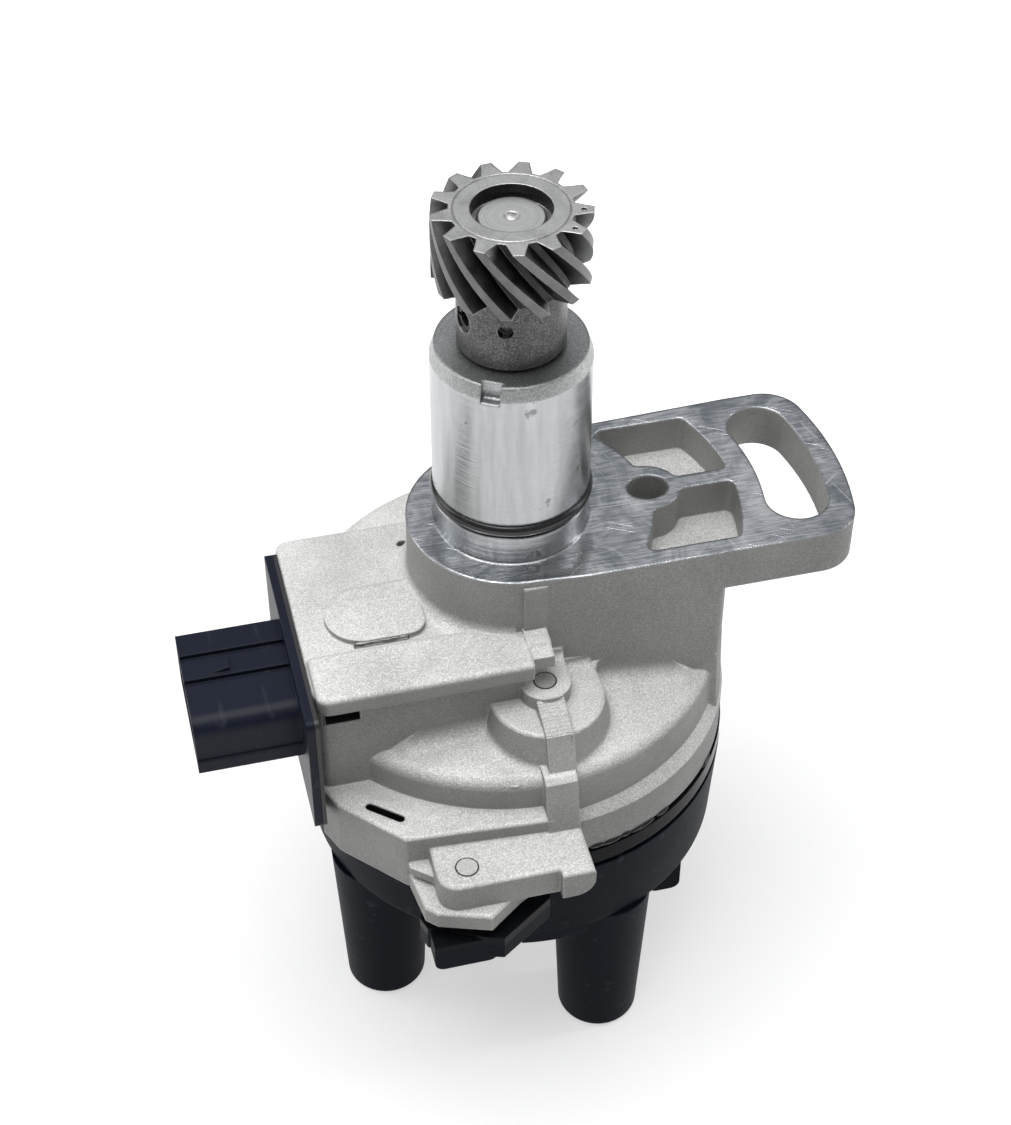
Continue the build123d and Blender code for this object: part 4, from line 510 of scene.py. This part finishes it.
def moulding(name, dark, light, rough, band=None, shine=0.14):
    """Moulded plastic with a faint skin texture, scuffs and softened edges that are paler from wear and
    from a painted highlight, glossy above the band.
    """
    material, r, shader, where = finish_named(name)
    cloud = r.noise(where, 38.0, 3.0, 0.6)
    skin = r.noise(where, 1500.0, 2.0, 0.6)
    scuff = r.between(r.noise(where, 300.0, 2.0, 0.5, stretch=(1.0, 0.15, 1.0)), 0.62, 0.78)
    edge = r.use(EDGE_WEAR_AND_HIGHLIGHT, Where=where, Width=0.0004, Amount=0.8)
    tone = r.math("ADD", r.math("MULTIPLY", cloud, 0.6), r.math("MULTIPLY", skin, 0.4))
    colour = r.tint(tone, dark, light)
    colour = r.tint(r.math("MULTIPLY", scuff, 0.12), colour, (0.16, 0.17, 0.19))
    # Paler edges: partly wear, partly a painted highlight
    colour = r.tint(r.math("MULTIPLY", edge.outputs["Mask"], 0.25), colour, (0.10, 0.11, 0.13))
    base_rough = r.scaled(tone, 0.3, 0.75, rough[1], rough[0])
    if band is not None:
        shiny = r.math("GREATER_THAN", r.parts(where)[2], band)
        base_rough = r.mix(shiny, base_rough, 0.16)
        colour = r.tint(shiny, colour, (0.006, 0.007, 0.009))
    r.join(colour, shader.inputs["Base Color"])
    r.join(base_rough, shader.inputs["Roughness"])
    shader.inputs["Specular IOR Level"].default_value = shine
    height = r.math("ADD", r.math("MULTIPLY", skin, 0.000012), r.math("MULTIPLY", scuff, 0.000006))
    bumped(r, shader, height, under=edge.outputs["Normal"])
    return material


def rubber(name, dark, light, rough):
    """Black rubber with dust, slow clouds of tone and a soft sheen."""
    material, r, shader, where = finish_named(name)
    dust = r.noise(where, 420.0, 4.0, 0.65)
    flow = r.noise(where, 70.0, 2.0, 0.5)
    tone = r.math("ADD", r.math("MULTIPLY", dust, 0.5), r.math("MULTIPLY", flow, 0.5))
    r.join(r.tint(tone, dark, light), shader.inputs["Base Color"])
    r.join(r.scaled(tone, 0.3, 0.7, rough[0], rough[1]), shader.inputs["Roughness"])
    bumped(r, shader, r.math("MULTIPLY", dust, 0.00001))
    return material


def laminated():
    """Stacked iron sheets of the coil core, seen edge on."""
    material, r, shader, where = finish_named("laminated iron")
    sheets = r.add("ShaderNodeTexWave", wave_type="BANDS", bands_direction="X")
    r.join(where, sheets.inputs["Vector"])
    sheets.inputs["Scale"].default_value = 620.0
    sheets.inputs["Distortion"].default_value = 0.3
    grime = r.noise(where, 500.0, 3.0, 0.6)
    tone = r.math("MULTIPLY", sheets.outputs["Fac"], grime)
    r.join(r.tint(tone, (0.05, 0.048, 0.045), (0.30, 0.29, 0.28)), shader.inputs["Base Color"])
    r.join(r.scaled(tone, 0.0, 1.0, 0.6, 0.35), shader.inputs["Roughness"])
    shader.inputs["Metallic"].default_value = 0.9
    bumped(r, shader, r.math("MULTIPLY", sheets.outputs["Fac"], 0.00005))
    return material


FINISHES = {
    "housing": casting(),
    "drive_gear": gear_steel(),
    "gear_roll_pin": metal("dark spring steel", (0.05, 0.05, 0.05), (0.13, 0.125, 0.12), (0.4, 0.6), 3400.0,
                           (0.3, 0.3, 0.3), 0.0003),
    "thrust_washer": metal("oiled washer steel", (0.02, 0.02, 0.02), (0.07, 0.07, 0.07), (0.25, 0.45),
                           3000.0),
    "drive_shaft": turned_steel("turned shaft steel", (0.48, 0.48, 0.48), (0.95, 0.95, 0.94), (0.28, 0.46)),
    "pilot_o_ring": rubber("o ring rubber", (0.006, 0.006, 0.007), (0.02, 0.02, 0.022), (0.18, 0.34)),
    "oil_seal_lip": rubber("seal lip rubber", (0.01, 0.01, 0.01), (0.035, 0.03, 0.03), (0.4, 0.6)),
    "cap_seal": rubber("cap seal rubber", (0.003, 0.003, 0.004), (0.012, 0.012, 0.014), (0.25, 0.4)),
    "plate_gasket": rubber("gasket rubber", (0.008, 0.008, 0.009), (0.03, 0.03, 0.033), (0.4, 0.6)),
    "cap": moulding("cap moulding", (0.002, 0.003, 0.007), (0.007, 0.010, 0.018), (0.4, 0.55), CAP_BAND_Z,
                    0.05),
    "connector": moulding("connector moulding", (0.004, 0.006, 0.014), (0.014, 0.017, 0.030), (0.34, 0.46)),
    "pickup": moulding("pickup moulding", (0.02, 0.02, 0.02), (0.05, 0.05, 0.05), (0.4, 0.55)),
    "driver_module": moulding("module moulding", (0.015, 0.015, 0.017), (0.05, 0.05, 0.055), (0.35, 0.5)),
    "dust_shield": moulding("shield moulding", (0.03, 0.03, 0.03), (0.07, 0.07, 0.07), (0.45, 0.6)),
    "rotor_arm": moulding("rotor moulding", (0.08, 0.025, 0.015), (0.2, 0.07, 0.045), (0.3, 0.45)),
    "coil_winding": moulding("winding resin", (0.02, 0.01, 0.008), (0.07, 0.035, 0.025), (0.15, 0.3)),
    "carbon_brush": metal("carbon", (0.01, 0.01, 0.01), (0.05, 0.05, 0.05), (0.5, 0.7), 4000.0,
                          metallic=0.0),
    "coil_core": laminated(),
    "upper_bush": metal("sintered bronze", (0.30, 0.20, 0.09), (0.60, 0.44, 0.22), (0.35, 0.55), 4500.0,
                        (0.75, 0.6, 0.35), 0.0003),
}
BRASS = metal("brass", (0.42, 0.29, 0.11), (0.80, 0.62, 0.30), (0.2, 0.4), 1800.0,
              (0.92, 0.8, 0.5), 0.0002, 0.000006)
PLATED = metal("zinc plated steel", (0.55, 0.55, 0.54), (0.88, 0.88, 0.87), (0.3, 0.5), 1500.0,
               (0.95, 0.95, 0.95), 0.0002, 0.00001)
GROUND = turned_steel("ground steel", (0.45, 0.45, 0.46), (0.78, 0.78, 0.79), (0.12, 0.25))
SHEET = metal("pressed sheet steel", (0.42, 0.42, 0.42), (0.72, 0.72, 0.72), (0.25, 0.42), 2200.0,
              (0.9, 0.9, 0.9), 0.0002, 0.00001)
BLACKED = metal("blackened steel", (0.03, 0.03, 0.03), (0.10, 0.10, 0.10), (0.3, 0.5), 2600.0,
                (0.3, 0.3, 0.3), 0.0002)
# Near black for grease and for the painted shade in the screw threads
THREAD_GREASE_AND_SHADE = rubber("thread shadow", (0.006, 0.006, 0.006), (0.03, 0.03, 0.03), (0.4, 0.6))
SHARED = (
    (BRASS, ("coil_pin", "cap_strip", "tower_terminals", "rotor_electrode", "connector_pins")),
    (PLATED, ("retainer_screws", "pickup_screw", "driver_screws", "coil_screws", "rotor_set_screw",
              "cap_screws", "bearing_retainer")),
    (GROUND, ("bearing_outer_ring", "bearing_inner_ring", "bearing_balls", "oil_seal_case",
              "wheel_spacer", "wheel_nut")),
    (SHEET, ("trigger_wheel", "bearing_cage", "brush_spring")),
    (BLACKED, ("shaft_circlip",)),
)
for material, names in SHARED:
    for name in names:
        FINISHES[name] = material


def dress(name, material):
    """Gives every slot of a CAD node its finish."""
    node = frame["nodes"][name]
    meshes = [node] if node.type == "MESH" else [o for o in node.children_recursive if o.type == "MESH"]
    for mesh in meshes:
        if not mesh.material_slots:
            mesh.data.materials.append(material)
        for slot in mesh.material_slots:
            slot.material = material


for name, material in FINISHES.items():
    dress(name, material)


# Small marks of the casting and its sealing, modelled on top of the solids


def start_shaping(piece, name):
    """Names a fresh primitive and opens it for shaping."""
    piece.name = name
    piece.data.name = name
    bpy.ops.object.mode_set(mode="EDIT")
    bpy.ops.mesh.select_mode(type="FACE")


def pick(piece, wanted):
    """Selects the faces whose centre and normal a test accepts."""
    bpy.ops.mesh.select_all(action="DESELECT")
    bpy.ops.object.mode_set(mode="OBJECT")
    for face in piece.data.polygons:
        face.select = wanted(face.center, face.normal)
    bpy.ops.object.mode_set(mode="EDIT")


def finished(piece, material):
    """Leaves edit mode, settles the piece at the origin and fixes it to the housing."""
    bpy.ops.mesh.select_all(action="SELECT")
    bpy.ops.mesh.normals_make_consistent(inside=False)
    bpy.ops.object.mode_set(mode="OBJECT")
    bpy.ops.object.transform_apply(location=True, rotation=True, scale=True)
    bpy.ops.object.shade_smooth_by_angle(angle=math.radians(40))
    piece.data.materials.clear()
    piece.data.materials.append(material)
    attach(piece, "housing_group")
    bpy.ops.object.select_all(action="DESELECT")


def insert_witness():
    """Low plate that the die insert left on the front of the hub, with a shallow edge."""
    bpy.ops.mesh.primitive_cube_add(size=1.0, location=WITNESS_AT)
    plate = bpy.context.object
    start_shaping(plate, "die_insert_witness")
    bpy.ops.transform.resize(value=WITNESS_SIZE)
    pick(plate, lambda centre, normal: normal.y < -0.9)
    bpy.ops.mesh.inset(thickness=0.0003, depth=0.0)
    bpy.ops.transform.translate(value=(0.0, -0.0001, 0.0))
    bpy.ops.mesh.subdivide(number_cuts=3)
    bpy.ops.transform.vertex_random(offset=0.00006, seed=4)
    finished(plate, FINISHES["housing"])


def ejector_mark():
    """Crescent left by an ejector pin below the edge of the dome."""
    bpy.ops.mesh.primitive_uv_sphere_add(segments=20, ring_count=10, radius=1.0, location=EJECTOR_AT)
    mark = bpy.context.object
    start_shaping(mark, "ejector_mark")
    bpy.ops.transform.resize(value=EJECTOR_SIZE)
    bpy.ops.mesh.select_all(action="SELECT")
    bpy.ops.mesh.bisect(plane_co=EJECTOR_CUT, plane_no=EJECTOR_LEAN, use_fill=True, clear_inner=True)
    pick(mark, lambda centre, normal: normal.z > 0.55 and abs(centre.x) < 0.0006)
    bpy.ops.transform.translate(value=(0.0, 0.0002, -0.0002))
    finished(mark, FINISHES["housing"])


def pad_burr():
    """Torn flash along the front of the oval pad."""
    bpy.ops.mesh.primitive_cube_add(size=1.0, location=BURR_AT)
    burr = bpy.context.object
    start_shaping(burr, "pad_burr")
    bpy.ops.transform.resize(value=BURR_SIZE)
    bpy.ops.mesh.select_all(action="SELECT")
    bpy.ops.mesh.subdivide(number_cuts=9)
    bpy.ops.transform.vertex_random(offset=0.00022, seed=7)
    pick(burr, lambda centre, normal: centre.y < -0.0003 and centre.z > 0.0)
    bpy.ops.transform.translate(value=(0.0, 0.0003, -0.0002))
    finished(burr, FINISHES["housing"])


def parting_flash():
    """Thin line of flash down the front of the rib, where two die halves met."""
    bpy.ops.mesh.primitive_cube_add(size=1.0, location=FLASH_AT)
    line = bpy.context.object
    start_shaping(line, "parting_flash")
    bpy.ops.transform.resize(value=FLASH_SIZE)
    for step in FLASH_STEPS:
        lowest = min(face.center.z for face in line.data.polygons)
        pick(line, lambda centre, normal: normal.z < -0.5 and abs(centre.z - lowest) < 0.0002)
        bpy.ops.mesh.extrude_region_move(TRANSFORM_OT_translate={"value": step})
        bpy.ops.object.mode_set(mode="OBJECT")
        bpy.ops.object.mode_set(mode="EDIT")
    bpy.ops.mesh.select_all(action="SELECT")
    bpy.ops.mesh.subdivide(number_cuts=2)
    bpy.ops.transform.vertex_random(offset=0.00003, seed=2)
    finished(line, FINISHES["housing"])


def rear_corner():
    """Soft inner corner at the back, which closes the thin slit that the solid has there."""
    bpy.ops.mesh.primitive_cube_add(size=1.0, location=CORNER_AT)
    corner = bpy.context.object
    start_shaping(corner, "rear_corner")
    bpy.ops.transform.resize(value=CORNER_SIZE)
    pick(corner, lambda centre, normal: normal.y > 0.9)
    bpy.ops.transform.resize(value=(1.0, 1.0, 0.15))
    bpy.ops.transform.translate(value=(0.0, 0.0, -0.0015))
    pick(corner, lambda centre, normal: normal.x < -0.9)
    bpy.ops.transform.resize(value=(1.0, 0.4, 0.3))
    bpy.ops.transform.translate(value=(0.0, -0.0010, -0.0012))
    bpy.ops.mesh.select_all(action="SELECT")
    bpy.ops.mesh.subdivide(number_cuts=4, smoothness=0.15)
    finished(corner, FINISHES["housing"])


def another(name, mesh):
    """A new object with its own copy of a mesh."""
    piece = bpy.data.objects.new(name, mesh.copy())
    bpy.context.collection.objects.link(piece)
    return piece


def edit_again(piece):
    """Makes an object that was copied or moved the one that is edited."""
    piece.select_set(True)
    bpy.context.view_layer.objects.active = piece
    bpy.ops.object.mode_set(mode="EDIT")


def thread_seams():
    """Dark ring of grease and painted shade in the thread round each screw end, the lower half cut away."""
    bpy.ops.mesh.primitive_torus_add(major_radius=SEAM_R, minor_radius=SEAM_WIRE_R, major_segments=48,
                                     minor_segments=10, location=(0.0, 0.0, 0.0))
    model = bpy.context.object
    start_shaping(model, SEAMS[0][0])
    bpy.ops.mesh.select_all(action="SELECT")
    bpy.ops.mesh.bisect(plane_co=(0.0, 0.0, -0.00003), plane_no=(0.0, 0.0, 1.0), use_fill=True,
                        clear_inner=True)
    bpy.ops.transform.resize(value=(1.0, 1.0, 0.6))
    bpy.ops.object.mode_set(mode="OBJECT")
    bare = model.data.copy()
    for name, place in SEAMS:
        seam = model if name == model.name else another(name, bare)
        seam.location = place
        edit_again(seam)
        finished(seam, THREAD_GREASE_AND_SHADE)


def sealant_beads():
    """Black sealant pressed out between the housing rim and the cap."""
    bpy.ops.mesh.primitive_uv_sphere_add(segments=14, ring_count=8, radius=1.0, location=(0.0, 0.0, 0.0))
    model = bpy.context.object
    start_shaping(model, "sealant_bead_1")
    bpy.ops.transform.resize(value=BEAD_SIZE)
    bpy.ops.transform.vertex_random(offset=0.00014, seed=5)
    bpy.ops.mesh.select_all(action="SELECT")
    bpy.ops.mesh.subdivide(number_cuts=1, smoothness=0.6)
    bpy.ops.object.mode_set(mode="OBJECT")
    bare = model.data.copy()
    for number, (angle, long, low) in enumerate(BEADS, 1):
        bead = model if number == 1 else another("sealant_bead_%d" % number, bare)
        turn = Matrix.Rotation(math.radians(angle), 4, "Z")
        place = Matrix.Translation((BEAD_CIRCLE_R, 0.0, low))
        bead.matrix_world = turn @ place @ Matrix.Diagonal((1.0, long, 1.0, 1.0))
        edit_again(bead)
        finished(bead, FINISHES["cap_seal"])


insert_witness()
ejector_mark()
pad_burr()
parting_flash()
rear_corner()
thread_seams()
sealant_beads()


# Studio


def floor():
    """Large pale floor under the towers, white to the eye and in metal, more so away from the object."""
    bpy.ops.mesh.primitive_plane_add(size=6.0, location=(0.0, 0.0, cad_box[0][2] - 0.0002))
    sheet = bpy.context.object
    sheet.name = "pale_floor"
    material, r, shader, where = finish_named("pale paper")
    tone = r.noise(where, 6.0, 3.0, 0.5)
    r.join(r.tint(tone, (0.50, 0.50, 0.50), (0.54, 0.54, 0.54)), shader.inputs["Base Color"])
    shader.inputs["Roughness"].default_value = 0.9
    shader.inputs["Specular IOR Level"].default_value = 0.1
    seen = r.add("ShaderNodeLightPath")
    shown = r.math("MAXIMUM", seen.outputs["Is Camera Ray"], seen.outputs["Is Glossy Ray"])
    shown = r.math("MAXIMUM", shown, seen.outputs["Is Transmission Ray"])
    away = r.add("ShaderNodeVectorMath", operation="LENGTH")
    r.join(where, away.inputs[0])
    far = r.scaled(r.between(away.outputs["Value"], 0.05, 0.30), 0.0, 1.0, 0.55, 0.95)
    glow = r.add("ShaderNodeEmission")
    glow.inputs["Color"].default_value = (1.0, 1.0, 1.0, 1.0)
    r.join(r.math("MULTIPLY", shown, far), glow.inputs["Strength"])
    total = r.add("ShaderNodeAddShader")
    r.join(shader.outputs[0], total.inputs[0])
    r.join(glow.outputs[0], total.inputs[1])
    r.join(total.outputs[0], material.node_tree.nodes["Material Output"].inputs["Surface"])
    sheet.data.materials.append(material)


def panel(name, place, size, power):
    """Soft rectangular lamp that looks at the origin."""
    lamp = bpy.data.lights.new(name, "AREA")
    lamp.shape = "RECTANGLE"
    lamp.size, lamp.size_y = size
    lamp.energy = power
    holder = bpy.data.objects.new(name, lamp)
    bpy.context.collection.objects.link(holder)
    turn = (-Vector(place)).to_track_quat("-Z", "Y").to_matrix().to_4x4()
    holder.matrix_world = Matrix.Translation(place) @ turn


def surroundings():
    """Grey room, dim low down, with a paler wall behind the object."""
    world = bpy.data.worlds.new("studio room")
    world.use_nodes = True
    r = Recipe(world.node_tree)
    back = world.node_tree.nodes["Background"]
    y, z = r.parts(r.add("ShaderNodeTexCoord").outputs["Generated"])[1:]
    high = r.between(z, 0.0, 0.85)
    behind = r.math("MULTIPLY", r.between(y, 0.1, 0.75), r.between(z, 0.15, 0.6))
    tone = r.tint(high, (0.12, 0.125, 0.13), (0.34, 0.345, 0.35))
    tone = r.tint(r.math("MULTIPLY", behind, 0.85), tone, (0.56, 0.57, 0.58))
    r.join(tone, back.inputs["Color"])
    back.inputs["Strength"].default_value = 1.0
    bpy.context.scene.world = world


def camera():
    """Camera at the viewing angle of the photograph."""
    azimuth, elevation = math.radians(CAMERA_AZIMUTH), math.radians(CAMERA_ELEVATION)
    right = Vector((math.cos(azimuth), math.sin(azimuth), 0.0))
    back = Vector((math.sin(azimuth) * math.cos(elevation), -math.cos(azimuth) * math.cos(elevation),
                   math.sin(elevation)))
    up = back.cross(right)
    target = Vector((0.0, 0.0, CAMERA_AIM_Z)) - right * CAMERA_AIM_LEFT
    lens = bpy.data.cameras.new("photo_view")
    lens.sensor_width = CAMERA_SENSOR
    lens.lens = CAMERA_LENS
    lens.clip_start = 0.01
    holder = bpy.data.objects.new("photo_view", lens)
    bpy.context.collection.objects.link(holder)
    turn = Matrix((right, up, back)).transposed().to_4x4()
    holder.matrix_world = Matrix.Translation(target + back * CAMERA_DISTANCE) @ turn
    bpy.context.scene.camera = holder


floor()
surroundings()
camera()
for lamp_name, place, size, power in LAMPS:
    panel(lamp_name, place, size, power)
bpy.context.scene.view_settings.view_transform = "Standard"
